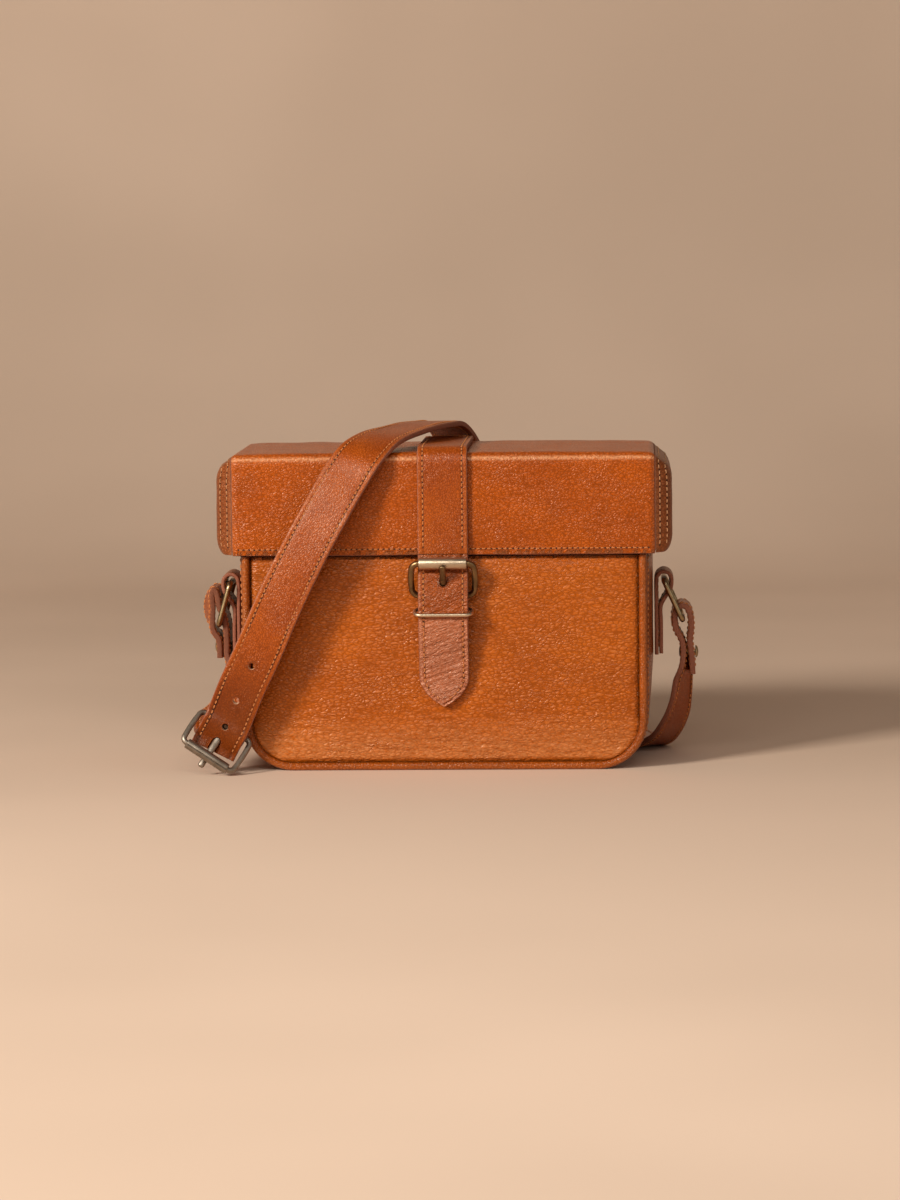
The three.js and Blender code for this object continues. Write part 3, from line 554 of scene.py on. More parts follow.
brass, bronze, bright_brass, nickel = [
    metal(name, base=base, dark=dark, shine=shine, tarnish=tarnish) for name, base, dark, shine, tarnish in (
        ("antique_brass", (0.40, 0.29, 0.155), (0.13, 0.08, 0.035), (0.24, 0.42), 0.75),
        ("aged_bronze", (0.25, 0.155, 0.072), (0.075, 0.042, 0.02), (0.26, 0.44), 0.7),
        ("rubbed_brass", (0.62, 0.48, 0.33), (0.30, 0.20, 0.11), (0.3, 0.46), 0.4),
        ("worn_nickel", (0.33, 0.27, 0.21), (0.11, 0.078, 0.05), (0.4, 0.54), 0.5),
    )
]
lining = suede("lining_suede", base=(0.46, 0.31, 0.19), dark=(0.34, 0.215, 0.125))
board = fibre_board("stiffener_board", base=(0.30, 0.22, 0.14), dark=(0.19, 0.13, 0.08))


# ---- driving sizes, as the CAD source has them

PIPING_R = 2.0
CORNER_R = 25.0
LEATHER = 2.0
GUSSET_BULGE = 3.4
PANEL_PUFF = 2.0
LID_EDGE_R = 4.0
LID_LEATHER = 2.2
LID_END_BULGE = 6.6
LID_PUFF = 0.7
GAP = 0.3
LINING = 1.2
FOLD = 0.35

BODY_HALF_W = highest("front_piping")[0]
BODY_TOP = highest("front_panel")[2]
BODY_HALF_D = highest("back_panel")[1]
LID_BOTTOM = lowest("lid_cover")[2]
LID_TOP = highest("lid_cover")[2] - LID_PUFF
LID_HALF_D = highest("lid_cover")[1]
LID_HALF_W = highest("lid_cover")[0] + 0.2


def half_width(z, inset):
    """Half the width of the body's outline at height z, inset from the outermost edge."""
    r = CORNER_R - inset
    below = np.maximum(0, CORNER_R - z)
    return BODY_HALF_W - CORNER_R + np.sqrt(np.maximum(0, r * r - below * below))


def outline(inset, top, spacing=2.0):
    """The body's outline from the top left, round the bottom, to the top right: x, z, normal x, normal z."""
    r, cx = CORNER_R - inset, BODY_HALF_W - CORNER_R
    down = np.linspace(top, CORNER_R, int((top - CORNER_R) / spacing), endpoint=False)
    left = [(-cx - r, z, -1, 0) for z in down]
    for t in np.radians(np.linspace(180, 270, 18, endpoint=False)):
        left.append((-cx + r * math.cos(t), CORNER_R + r * math.sin(t), math.cos(t), math.sin(t)))
    flat = [(x, CORNER_R - r, 0, -1) for x in np.linspace(-cx, cx, int(2 * cx / spacing))]
    return np.array(left + flat + [(-x, z, -nx, nz) for x, z, nx, nz in reversed(left)])


# ---- body: panels, piping and gusset

uneven = ripples(10, 22, 70)
creased = ripples(16, 3.5, 9, stretch=6.0)


def panel(sign):
    """The front (-1) or back (1) hide, padded out a little and drawn in at the piping."""
    low = inset = 2 * PIPING_R - 0.4
    top = BODY_TOP - FOLD

    def place(u, v, inward=0.0):
        z = low + v * (top - low)
        x = (2 * u - 1) * half_width(z, inset)
        half = half_width(z, inset)
        in_corner = (1 - np.abs(2 * u - 1)) * half * 0.6 + 0.4 * (z - low)
        near = np.minimum(np.where(z < CORNER_R, in_corner, half - np.abs(x)), z - low)
        across = 1 - np.abs(2 * u - 1) ** 5
        rise = smooth(v * 6) * smooth((1 - v) * 7 + 0.35)
        puff = (PANEL_PUFF if sign < 0 else 0.5) * across * rise
        puff = puff - 1.3 * hump(np.maximum(near, 0), 1.6)
        calm = smooth(near / 9)
        more_below = 0.2 + 1.4 * smooth((50 - z) / 40)
        puff = puff + calm * (0.16 * uneven(x, z) + 0.17 * creased(x, z) * more_below)
        return xyz(x, sign * (BODY_HALF_D + puff - inward), z + 0 * x)

    u, v = np.meshgrid(np.linspace(0, 1, 150), np.linspace(0, 1, 96) ** 1.15)
    outer, inner = place(u, v), place(u, v, LEATHER * 0.9)
    edge = np.minimum(half_width(outer[..., 2], inset) - np.abs(outer[..., 0]), outer[..., 2] - low)
    made = Shape()
    grain = outer[..., [0, 2, 1]] + np.array([0, 0, 40.0 * sign])
    # painted sheen: the lower part is painted lighter; along the piping it is darker, from dirt and painted
    # shade in the seam
    painted_low_sheen = 0.4 * smooth((32 - outer[..., 2]) / 26)
    made.sheet(outer, inner, grain=grain, wear=painted_low_sheen - (0.9 + painted_low_sheen) * hump(np.maximum(edge, 0), 1.5))
    return made


def hide_set(face, edge=edge_leather, sewing=thread):
    """A hide's materials, in the order of Shape's slots."""
    return [face, edge, sewing, hole_dark]


GUSSET_SET = hide_set(gusset_leather)
PANEL_SET = hide_set(panel_leather)
FRONT_AND_BACK = ((-1, "front"), (1, "back"))
for sign, side in FRONT_AND_BACK:
    finish_piece(f"{side}_panel_hide", panel(sign), PANEL_SET, "root", [f"{side}_panel"])


def tube(shape, line, first, second, radius, sides, lumps, wear):
    """A tube round a line of points; first and second are the two directions of its circle at each point."""
    turns = np.linspace(0, 2 * math.pi, sides, endpoint=False)
    s = lengths(line)
    r = np.broadcast_to(radius, len(line)) * (1 + lumps * np.sin(s / 3.1) * np.sin(s / 7.7))
    rings = line[:, None] + r[:, None, None] * (
        first[:, None] * np.cos(turns)[None, :, None] + second[:, None] * np.sin(turns)[None, :, None]
    )
    grain = xyz(s[:, None], (turns * np.mean(r))[None, :], 0.0)
    shape.grid(rings, loop_u=True, grain=grain, wear=wear(turns)[None, :], capped=True)


def piping(sign):
    """The corded edge round the front (-1) or back (1)."""
    rows = outline(PIPING_R, BODY_TOP, 1.3)
    line = np.stack([rows[:, 0], np.full(len(rows), sign * (BODY_HALF_D - 0.2)), rows[:, 1]], 1)
    out = np.stack([rows[:, 2], 0 * rows[:, 2], rows[:, 3]], 1)
    front = np.tile([0, sign, 0], (len(rows), 1))
    made = Shape()

    def wear(turns):
        # the crest is rubbed lighter; the side turned in to the seam is darker, from dirt and painted shade
        crest = hump(np.arctan2(np.sin(turns - rad(45)), np.cos(turns - rad(45))), 0.8)
        buried = smooth((-np.cos(turns - rad(45)) - 0.1) / 0.6)
        return 0.55 * crest - 0.9 * buried
    tube(made, line, out, front, PIPING_R, 18, 0.035, wear)
    return made


for sign, side in FRONT_AND_BACK:
    made, nodes = piping(sign), [f"{side}_piping"]
    finish_piece(f"{side}_piping_tube", made, GUSSET_SET, "root", nodes)

GUSSET_HALF = BODY_HALF_D - 1.3
SEAM_IN = 4.4


def gusset():
    """The strip round both sides and the base, and its stitching."""
    rows = outline(0, BODY_TOP - FOLD)
    s = lengths(rows[:, :2])
    x, z, nx, nz = [c[:, None] for c in rows.T]

    def out(y, inward=0.0):
        side = np.abs(nx) * smooth((z - 4) / 26)
        bulge = GUSSET_BULGE * (1 - (y / GUSSET_HALF) ** 2) * np.abs(nx) * smooth((z - 4) / 55)
        dip = 1.2 * hump(GUSSET_HALF - np.abs(y), 1.2) * np.maximum(side, 0.25)
        soft = 0.14 * uneven(s[:, None] + 30, y) * side
        d = bulge - dip + soft - inward
        return xyz(x + nx * d, y + 0 * x, z + nz * d)

    y = np.linspace(-GUSSET_HALF, GUSSET_HALF, 58)[None, :]
    outer, inner = out(y), out(y, LEATHER)
    grain = xyz(s[:, None], y, 0.0)
    made = Shape()
    # darker along both edges beside the piping, from dirt and painted shade in the seams
    made.sheet(outer, inner, grain=grain, wear=-0.8 * hump(GUSSET_HALF - np.abs(y), 1.4) + 0 * x)
    sewn = Shape()
    normals = np.stack([rows[:, 2], 0 * rows[:, 2], rows[:, 3]], 1)
    shown = rows[:, 1] > 3.0
    for side in (-1, 1):
        row = out(np.array([[side * (GUSSET_HALF - SEAM_IN)]]))[:, 0]
        for part in (rows[:, 0] < 0, rows[:, 0] > 0):
            keep = shown & part
            sewn.stitches(row[keep], normals[keep])
    return made, sewn


made, sewn = gusset()
finish_piece("gusset_hide", made, GUSSET_SET, "root", ["gusset"], thread=sewn)

for node in ("gusset_board", "front_board", "back_board", "lid_top_board", "lid_front_board"):
    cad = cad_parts[node]
    cad.data.materials.clear()
    cad.data.materials.append(board)


# ---- body: lining and rim

def body_lining():
    """Sides and base in one, with two flat faces."""
    low, high = lowest("body_lining"), highest("body_lining")
    inset, top, half_d = low[2], high[2], high[1]
    rows = outline(inset, top - 0.3, 3.0)
    s = lengths(rows[:, :2])
    y = np.linspace(-half_d, half_d, 30)[None, :]
    x, z, nx, nz = [c[:, None] for c in rows.T]
    sides = [xyz(x + nx * d, y + 0 * x, z + nz * d) for d in (0, -LINING)]
    made = Shape()
    made.sheet(*sides, edge=0, grain=xyz(s[:, None], y, 0.0))
    u, v = np.meshgrid(np.linspace(-1, 1, 60), np.linspace(0, 1, 34) ** 1.4)
    for sign in (-1, 1):
        z = inset + 0.3 + v * (top - 0.6 - inset)
        x = u * half_width(z, inset + 0.2)
        outer, inner = [xyz(x, sign * (half_d - d) + 0 * x, z) for d in (0, LINING)]
        made.sheet(outer, inner, edge=0)
    return made


LINING_SET = hide_set(lining, lining)
finish_piece("body_lining_suede", body_lining(), LINING_SET, "root", ["body_lining"])


def rounded_ring(half_x, half_y, corner, z, per_corner=8, per_side=24):
    """A rounded rectangle of points at height z, anticlockwise."""
    found = []
    for cx, cy, start in ((1, 1, 0), (-1, 1, 90), (-1, -1, 180), (1, -1, 270)):
        centre = np.array([cx * (half_x - corner), cy * (half_y - corner)])
        for t in np.radians(start + np.linspace(0, 90, per_corner)):
            found.append(centre + corner * np.array([math.cos(t), math.sin(t)]))
    ring = np.array(found + [found[0]])
    s = lengths(ring)
    even = np.linspace(0, s[-1], 4 * (per_corner + per_side), endpoint=False)
    both = np.unique(np.concatenate([even, s[:-1]]))
    flat = along(ring, both)[0]
    return np.column_stack([flat, np.full(len(flat), z)])


def rim():
    """The raised rim that the lid closes over."""
    low, high = lowest("rim"), highest("rim")
    thick, soft = 5.0, 1.6
    half_x, half_y = (high[:2] - low[:2]) / 2
    made = Shape()
    section = []
    for inward, z, start in (
        (soft, high[2] - soft, 180), (thick - soft, high[2] - soft, 90),
        (thick - soft, low[2] + soft, 0), (soft, low[2] + soft, -90),
    ):
        for t in np.radians(start - np.linspace(0, 90, 5)):
            section.append((inward + soft * math.cos(t), z + soft * math.sin(t)))
    rings = [rounded_ring(half_x - inward, half_y - inward, 7.0 - inward * 0.9, z) for inward, z in section]
    count = min(len(r) for r in rings)
    rings = [r[:count] for r in rings]
    made.grid(np.array(rings), loop_u=True, loop_v=True)
    return made


finish_piece("rim_suede", rim(), LINING_SET, "root", ["rim"], sharp=60)


# ---- padded base and divider: cloth under pressure

PAD_VOXEL = 0.0032


def pillow(low, high, corner):
    """A rounded block to inflate: stacked rounded outlines that pull in at both faces."""
    half = (high - low) / 2
    middle = (high + low) / 2
    made = Shape()
    turns = np.radians(np.linspace(-90, 90, 9))
    edge = min(half[2], corner) * 0.95
    rings = []
    for t in turns:
        z = middle[2] + math.copysign(half[2] - edge, math.sin(t)) * (abs(t) > 1e-9) + edge * math.sin(t)
        inward = edge * (1 - math.cos(t))
        rings.append(rounded_ring(half[0] - inward, half[1] - inward, corner, z) + [middle[0], middle[1], 0])
    made.grid(np.array(rings), loop_u=True, capped=True)
    return made


def inflate(obj, voxel, cap, pressure=4.0, frames=20):
    """Swells a closed mesh as cloth under pressure, with no point moved more than cap, in metres."""
    remesh = obj.modifiers.new("remesh", "REMESH")
    remesh.mode, remesh.voxel_size = "VOXEL", voxel
    obj.data = evaluated(obj)
    obj.modifiers.clear()
    rest = np.array([v.co for v in obj.data.vertices])
    cloth = obj.modifiers.new("cloth", "CLOTH")
    cloth.settings.quality = 5
    cloth.settings.use_pressure = True
    cloth.settings.uniform_pressure_force = pressure
    cloth.settings.effector_weights.gravity = 0
    cloth.point_cache.frame_start, cloth.point_cache.frame_end = 1, frames
    for f in range(1, frames + 1):
        bpy.context.scene.frame_set(f)
    swollen = evaluated(obj)
    move = np.array([v.co for v in swollen.vertices]) - rest
    size = np.linalg.norm(move, axis=1, keepdims=True)
    rest = rest + move * np.minimum(1, cap / np.maximum(size, 1e-9))
    obj.modifiers.clear()
    bpy.data.meshes.remove(swollen)
    bpy.context.scene.frame_set(1)
    obj.data.vertices.foreach_set("co", rest.astype(np.float32).ravel())
    finer = obj.modifiers.new("finer", "SUBSURF")
    finer.levels = finer.render_levels = 1
    obj.data = evaluated(obj)
    obj.modifiers.clear()


def padded_piece(node, body, shrink, cap, stand=None):
    """A pad the size of its node less shrink. stand is the order of axes that lays the block on its side."""
    low, high = lowest(node) + shrink, highest(node) - shrink
    if stand is None:
        made = pillow(low, high, 6.0)
    else:
        made = pillow(low[stand], high[stand], 3.0)
        made.points = [p[:, np.argsort(stand)] for p in made.points]
    obj = link(node + "_pad", mesh_of(node + "_pad", made))
    inflate(obj, PAD_VOXEL, cap)
    mesh = obj.data
    co = np.array([v.co for v in mesh.vertices], np.float32)
    for name in ("grain", "wear"):
        if name in mesh.attributes:
            mesh.attributes.remove(mesh.attributes[name])
    mesh.attributes.new("grain", "FLOAT_VECTOR", "POINT").data.foreach_set("vector", (co / MM).ravel())
    mesh.attributes.new("wear", "FLOAT", "POINT")
    mesh.materials.clear()
    mesh.materials.append(lining)
    mesh.polygons.foreach_set("use_smooth", [True] * len(mesh.polygons))
    mesh.polygons.foreach_set("material_index", [0] * len(mesh.polygons))
    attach(obj, body)
    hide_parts(node)


padded_piece("base_pad", "root", np.array([1.2, 1.2, 0.9]), cap=0.0012)
padded_piece("divider", "divider", np.array([1.1, 0.9, 0.9]), cap=0.0014, stand=[1, 2, 0])


# ---- lid: cover, ends, facing and lining

def lid_section(spacing=2.0):
    """The cover's section from the front lower edge, over the top, to the back lower edge: rows of y, z,
    normal y, normal z."""
    flat_y, flat_z = LID_HALF_D - LID_EDGE_R, LID_TOP - LID_EDGE_R
    low = LID_BOTTOM + FOLD
    heights = np.linspace(low, flat_z, int((flat_z - low) / spacing), endpoint=False)
    front = [(-LID_HALF_D, z, -1, 0) for z in heights]
    for t in np.radians(np.linspace(180, 90, 13)):
        ny, nz = math.cos(t), math.sin(t)
        front.append((-flat_y + LID_EDGE_R * ny, flat_z + LID_EDGE_R * nz, ny, nz))
    top = [(y, LID_TOP, 0, 1) for y in np.linspace(-flat_y, flat_y, int(2 * flat_y / spacing))[1:-1]]
    return np.array(front + top + [(-y, z, -ny, nz) for y, z, ny, nz in reversed(front)])


section = lid_section()
section_s = lengths(section[:, :2])
lid_uneven = ripples(12, 16, 60)
ROLL_R, ROLL_W = 4.0, 3.0
HEM_ROWS_IN = 1.35
END_INSET = ROLL_R - math.sqrt(ROLL_R ** 2 - ROLL_W ** 2)


def side_roll(from_edge):
    """How far the cover's surface drops towards its side edges."""
    in_roll = np.clip(ROLL_W - from_edge, 0, ROLL_W)
    return ROLL_R - np.sqrt(ROLL_R ** 2 - in_roll ** 2)


def lid_place(k, x, inward=0.0):
    """The cover's surface at section row k (may be between rows) and width x."""
    y, z, ny, nz = [np.interp(k, np.arange(len(section)), c) for c in section.T]
    v = x / (LID_HALF_W - 0.2)
    on_back = smooth((y - (LID_HALF_D - LID_EDGE_R)) / 3)
    puff = (1 - on_back) * LID_PUFF * (1 - np.abs(v) ** 6) * smooth((z - LID_BOTTOM) / 12 + (nz > 0.5))
    fade = smooth((1 - np.abs(v)) * 14) * smooth((z - LID_BOTTOM) / 6)
    puff = puff + 0.13 * lid_uneven(x, np.interp(k, np.arange(len(section)), section_s)) * fade
    puff = puff - side_roll(LID_HALF_W - np.abs(x))
    d = puff - inward
    return xyz(x + 0 * d, y + ny * d, z + nz * d)


def lid_cover():
    """Front, top and back of the lid in one hide, and its two hem rows."""
    k = np.arange(len(section), dtype=float)[:, None]
    x = np.linspace(-1, 1, 140)[None, :]
    x = np.sign(x) * (1 - (1 - np.abs(x)) ** 1.6) * (LID_HALF_W - FOLD)
    k, x = np.broadcast_arrays(k, x)
    outer, inner = lid_place(k, x), lid_place(k, x, LID_LEATHER)
    s = section_s[k.astype(int)]
    grain = xyz(x, s, 0 * x)
    # lighter bands along the two top bends, from rubbing and a painted highlight where the light catches
    # them; the side edges are rubbed lighter
    bends = [section_s[np.argmin(np.abs(section[:, 2] + a))] for a in (0.93, -0.93)]
    wear = 0.75 * sum(hump(s - b, 0.9) for b in bends) + 0.15 * hump(LID_HALF_W - np.abs(x), 1.2)
    made = Shape()
    made.sheet(outer, inner, grain=grain, wear=wear, bulge=0.4)
    sewn = Shape()
    last = len(section) - 1
    count = 200
    xs = np.linspace(-LID_HALF_W + 3, LID_HALF_W - 3, count)
    for end, normal in ((0, (0, -1, 0)), (last, (0, 1, 0))):
        step = HEM_ROWS_IN if end == 0 else -HEM_ROWS_IN
        row = lid_place(np.full(count, end + step), xs)
        sewn.stitches(row, np.tile(normal, (count, 1)), pitch=2.7, thread=0.38)
    return made, sewn


made, sewn = lid_cover()
finish_piece(
    "lid_cover_hide", made, hide_set(lid_leather), "lid", ["lid_cover"], thread=sewn,
)


END_R = LID_EDGE_R - END_INSET
END_TOP = LID_TOP - LID_EDGE_R + END_R


def end_half(z):
    """Half the depth of a lid end at height z."""
    above = np.maximum(0, z - (LID_TOP - LID_EDGE_R))
    return LID_HALF_D - LID_EDGE_R + np.sqrt(np.maximum(0, END_R ** 2 - above ** 2))


def end_edge(y, z):
    """Distance of y and z from the sewn edge of a lid end."""
    return np.maximum(0, np.minimum(end_half(z) - np.abs(y), END_TOP - z))


def end_thick(edge):
    """A lid end is thinned towards its sewn edge."""
    return 0.25 + (LEATHER - 0.25) * smooth(edge / 5)


def climb(t):
    """Rises from 0 to 1, steeply at first."""
    return 1 - (1 - np.clip(t, 0, 1)) ** 2.2


def end_out(y, z):
    """How far the outside of a lid end stands from the middle: domed, and thinned to its sewn edge."""
    dome = climb((end_half(z) - np.abs(y)) / 13) * climb((END_TOP - z) / 14)
    dome = dome * (0.3 + 0.7 * shoulder((z - LID_BOTTOM) / 10))
    return LID_HALF_W + 0.02 + LID_END_BULGE * dome + end_thick(end_edge(y, z))


def lid_end(sign):
    """The left (-1) or right (1) domed end, and its two rows of stitches."""
    low = LID_BOTTOM + FOLD
    u, v = np.meshgrid(np.linspace(-1, 1, 90), (1 - np.cos(math.pi * np.linspace(0, 1, 60))) / 2)
    u = np.sign(u) * (1 - (1 - np.abs(u)) ** 1.6)
    z = low + v * (END_TOP - 0.02 - low)
    y = u * end_half(z)
    edge = end_edge(y, z)
    x = end_out(y, z) + 0.12 * lid_uneven(y + 9, z) * smooth(edge / 8)
    outer, inner = [xyz(sign * (x - d), y, z) for d in (0, end_thick(edge))]
    made = Shape()
    grain = xyz(y, z, x * 0 + 60 * sign)
    made.sheet(outer, inner, grain=grain, wear=0.35 * hump(edge, 1.0), bulge=0.1)
    sewn = Shape()
    corner = np.radians(np.linspace(0, 90, 9))
    for inset in (1.6, 4.4):
        r = 3.0
        flat_y, flat_z = end_half(low) - inset - r, END_TOP - inset - r
        back = [(flat_y + r, z) for z in np.linspace(low + 3, flat_z, 16, endpoint=False)]
        back += [(flat_y + r * math.cos(t), flat_z + r * math.sin(t)) for t in corner]
        line = np.array(back + [(-y, z) for y, z in reversed(back)])
        fine = spline(line, 6, 0.25)
        points = np.column_stack([sign * end_out(*fine.T), fine])
        e = 0.4
        y, z = fine.T
        dy = (end_out(y + e, z) - end_out(y - e, z)) / (2 * e)
        dz = (end_out(y, z + e) - end_out(y, z - e)) / (2 * e)
        normals = unit(np.column_stack([sign * np.ones(len(fine)), -dy, -dz]))
        sewn.stitches(points, normals, pitch=2.9, thread=0.28)
    return made, sewn


for sign, side in ((-1, "left"), (1, "right")):
    made, sewn = lid_end(sign)
    finish_piece(
        f"lid_{side}_end_hide", made, hide_set(end_leather, dark_edge, pale_thread), "lid",
        [f"lid_{side}_end"], thread=sewn,
    )


def hem_facing():
    """The strip that folds under the lid's front edge."""
    low, high = lowest("lid_hem_facing"), highest("lid_hem_facing")
    x, z = np.meshgrid(np.linspace(low[0], high[0], 150), np.linspace(low[2] + FOLD, high[2] - FOLD, 10))
    wavy = 0.12 * np.sin(x / 9.0) * np.sin(x / 23.0)
    outer, inner = [xyz(x, y + 0 * x, z + wavy * (z < low[2] + 4)) for y in (low[1], high[1])]
    made = Shape()
    made.sheet(outer, inner, grain=xyz(x, z, 0 * x), bulge=0.5)
    return made


finish_piece(
    "lid_hem_facing_hide", hem_facing(), [end_leather, edge_leather], "lid",
    ["lid_hem_facing"],
)


def lid_lining():
    """A shallow box with soft corners."""
    low, high = lowest("lid_lining"), highest("lid_lining")
    half_x, half_y = (high[:2] - low[:2]) / 2
    outside = [(0, low[2] + 0.6), (0, high[2] - 3), (0.9, high[2] - 0.9), (3.0, high[2])]
    inside = [
        (LINING, low[2] + 0.6), (LINING, high[2] - 3), (LINING + 0.9, high[2] - LINING - 0.9),
        (LINING + 3, high[2] - LINING),
    ]
    made = Shape()

    def fill(pairs):
        at = np.linspace(0, len(pairs) - 1, 22)
        return [tuple(np.interp(t, range(len(pairs)), side) for side in zip(*pairs)) for t in at]
    section = fill(outside)[::-1] + [(LINING / 2, low[2])] + fill(inside)
    rings = [rounded_ring(half_x - a, half_y - a, 4.0, z) for a, z in section]
    made.grid(np.array(rings), loop_u=True, capped=True)
    return made


finish_piece("lid_lining_suede", lid_lining(), LINING_SET, "lid", ["lid_lining"])


# ---- straps

class Strap:
    """A flat strap through stations of x, y, z and width direction, and where they change, thickness and
    share of the width. s is the distance along it, and side, up and tangent are its directions."""

    def __init__(self, stations, width, thickness, spacing=1.5):
        usual = (thickness, 1.0)
        full = np.array([(*station, *usual[len(station) - 6:]) for station in stations], float)
        centre = spline(full[:, :3], 24, 0.25)
        rest = spline(np.column_stack([unit(full[:, 3:6]), full[:, 6:]]), 24, 0)
        total = lengths(centre)[-1]
        s = np.linspace(0, total, max(4, int(total / spacing)))
        self.centre, rest = along(centre, s, rest)
        self.s = s
        tangent = unit(np.gradient(self.centre, s, axis=0))
        side = rest[:, :3]
        self.side = unit(side - np.sum(side * tangent, axis=1, keepdims=True) * tangent)
        self.up = unit(np.cross(tangent, self.side))
        self.tangent = tangent
        self.half_t = rest[:, 3] / 2
        self.half_w = width / 2 * np.clip(rest[:, 4], 0.03, 1)

    def part(self, keep):
        """The stretch where keep is true."""
        piece = object.__new__(Strap)
        for key, value in self.__dict__.items():
            setattr(piece, key, value[keep])
        return piece

    def skin(self, shape, seam_in=2.7, groove=0.16, crown=0.07, creases=None, painted_light_along=None, slant=0.0):
        """The strap's closed surface, with rounded cut edges and a shallow groove under each row of stitches.
        creases(s, a) lifts it, a function of s adds painted highlight and painted shade along its length, and
        slant leans its grain."""
        share = np.linspace(0, 1, 7)[1:-1]
        w, t = self.half_w[:, None], self.half_t[:, None]
        soft = np.minimum(0.75, w * 0.3)
        near = np.array([0.0, 0.5, 1.1, 1.6, 2.0, 2.5, 3.2])
        inner = np.minimum(near[None, :], w * 0.6)
        left = -w + soft + inner
        middle = left[:, -1:] * (1 - 2 * share[None, :])
        across = np.concatenate([left, middle, -left[:, ::-1]], 1)
        dip = groove * hump(np.abs(across) - (w - seam_in), 0.55) * (w > seam_in + 1) if groove else 0.0
        height = t * (1 - crown * (across / w) ** 2) - dip
        turn = np.radians([30, 60, 90])[None, :]
        arc_a, arc_b = soft * np.sin(turn), soft * (np.cos(turn) - 1)
        edge_h = height[:, -1:]
        top_right = (across[:, -1:] + arc_a, edge_h + arc_b)
        low_right = (across[:, -1:] + arc_a[:, ::-1], -(edge_h + arc_b[:, ::-1]))
        half_a = np.concatenate([across, top_right[0], low_right[0]], 1)
        half_b = np.concatenate([height, top_right[1], low_right[1]], 1)
        a, b = np.concatenate([half_a, -half_a], 1), np.concatenate([half_b, -half_b], 1)
        ring = self.centre[:, None] + self.side[:, None] * a[..., None] + self.up[:, None] * b[..., None]
        if creases is not None:
            ring = ring + self.up[:, None] * creases(self.s[:, None], a)[..., None]
        n_top = across.shape[1]
        n_half = half_a.shape[1]
        slots = np.zeros(2 * n_half, int)
        for start in (0, n_half):
            slots[start + n_top: start + n_half - 1] = Shape.EDGE
        wear = np.zeros_like(a)
        for start in (0, n_half):
            block = slice(start, start + n_top)
            wear[:, block] = 0.5 * hump(np.abs(across) - w, 1.3)
            # the stitch grooves are darker, from dirt and painted shade
            wear[:, block] -= 0.35 * hump(np.abs(across) - (w - seam_in), 0.5)
            if painted_light_along is not None:
                wear[:, block] += painted_light_along(self.s[:, None])
        grain = xyz(self.s[:, None] + slant * a, a, np.where(b > 0, 0.0, 25.0))
        shape.grid(ring, loop_u=True, slot=slots, grain=grain, wear=wear, capped="edge")

    def sew(self, shape, seam_in=2.7, faces=(1, -1), ends=(), margin=2.4, pitch=2.7, thread=0.4):
        """Stitch rows along both edges, following the outline; ends adds a row across at the start or end."""
        slope = np.gradient(self.half_w, self.s)
        across = self.half_w - seam_in * np.sqrt(1 + slope ** 2)
        keep = (self.s > self.s[0] + margin) & (self.s < self.s[-1] - margin) & (across > 0.9)
        for face in faces:
            lift = self.up * (face * (self.half_t * 0.94 - 0.1))[:, None]
            for side in (-1, 1):
                row = self.centre + self.side * (side * across)[:, None] + lift
                if keep.sum() > 3:
                    shape.stitches(row[keep], (self.up * face)[keep], pitch=pitch, thread=thread)
            for end in ends:
                k = np.flatnonzero(keep)[0 if end == "start" else -1]
                span = np.linspace(-across[k], across[k], 24)[:, None]
                row = self.centre[k] + self.side[k] * span + lift[k]
                shape.stitches(row, np.tile(self.up[k] * face, (24, 1)), pitch=pitch, thread=thread)


def strap_piece(name, strap, materials, body, nodes, sew, holes=None, skin=None):
    """Finishes a strap. sew and skin are what its methods of those names are given."""
    made, sewn = Shape(), Shape()
    strap.skin(made, **(skin or {}))
    strap.sew(sewn, **sew)
    finish_piece(name, made, materials, body, nodes, holes=holes, thread=sewn)


STRAP_SET = [*hide_set(strap_leather), punched_edge]
TONGUE_SET = hide_set(tongue_leather)
SHORT_SET = hide_set(strap_leather, dark_edge)
TAB_SET = hide_set(end_leather)
ACROSS = (1, 0, 0)
ALONG_Y = (0, 1, 0)

CLOSURE_W, CLOSURE_T = 25.0, 3.0
CHAPE_W, CHAPE_T = 22.5, 1.6
BAR_Y, BAR_Z = -50.0, 88.8
ROLLER_Y, ROLLER_Z = -56.6, 105.4
FRAME_HALF_W, FRAME_WIRE_R = 15.2, 1.6
ROLLER_R, ROLLER_LENGTH = 3.0, 24.0
PRONG_R, PRONG_FLAT, COIL_WIDE = 1.2, 1.4, 3.4

HINGE_Y = 49.7
hinge_half = highest("hinge_strip")[0]
hinge = Strap(
    [(0, y, z, *ACROSS) for y, z in (
        (45.3, 84), (45.3, 96), (45.6, 102), (47.6, 106.2), (49.8, 108.6), (50.3, 112), (50.3, 118),
        (50.3, 124),
    )],
    2 * hinge_half, 1.6, spacing=1.0,
)


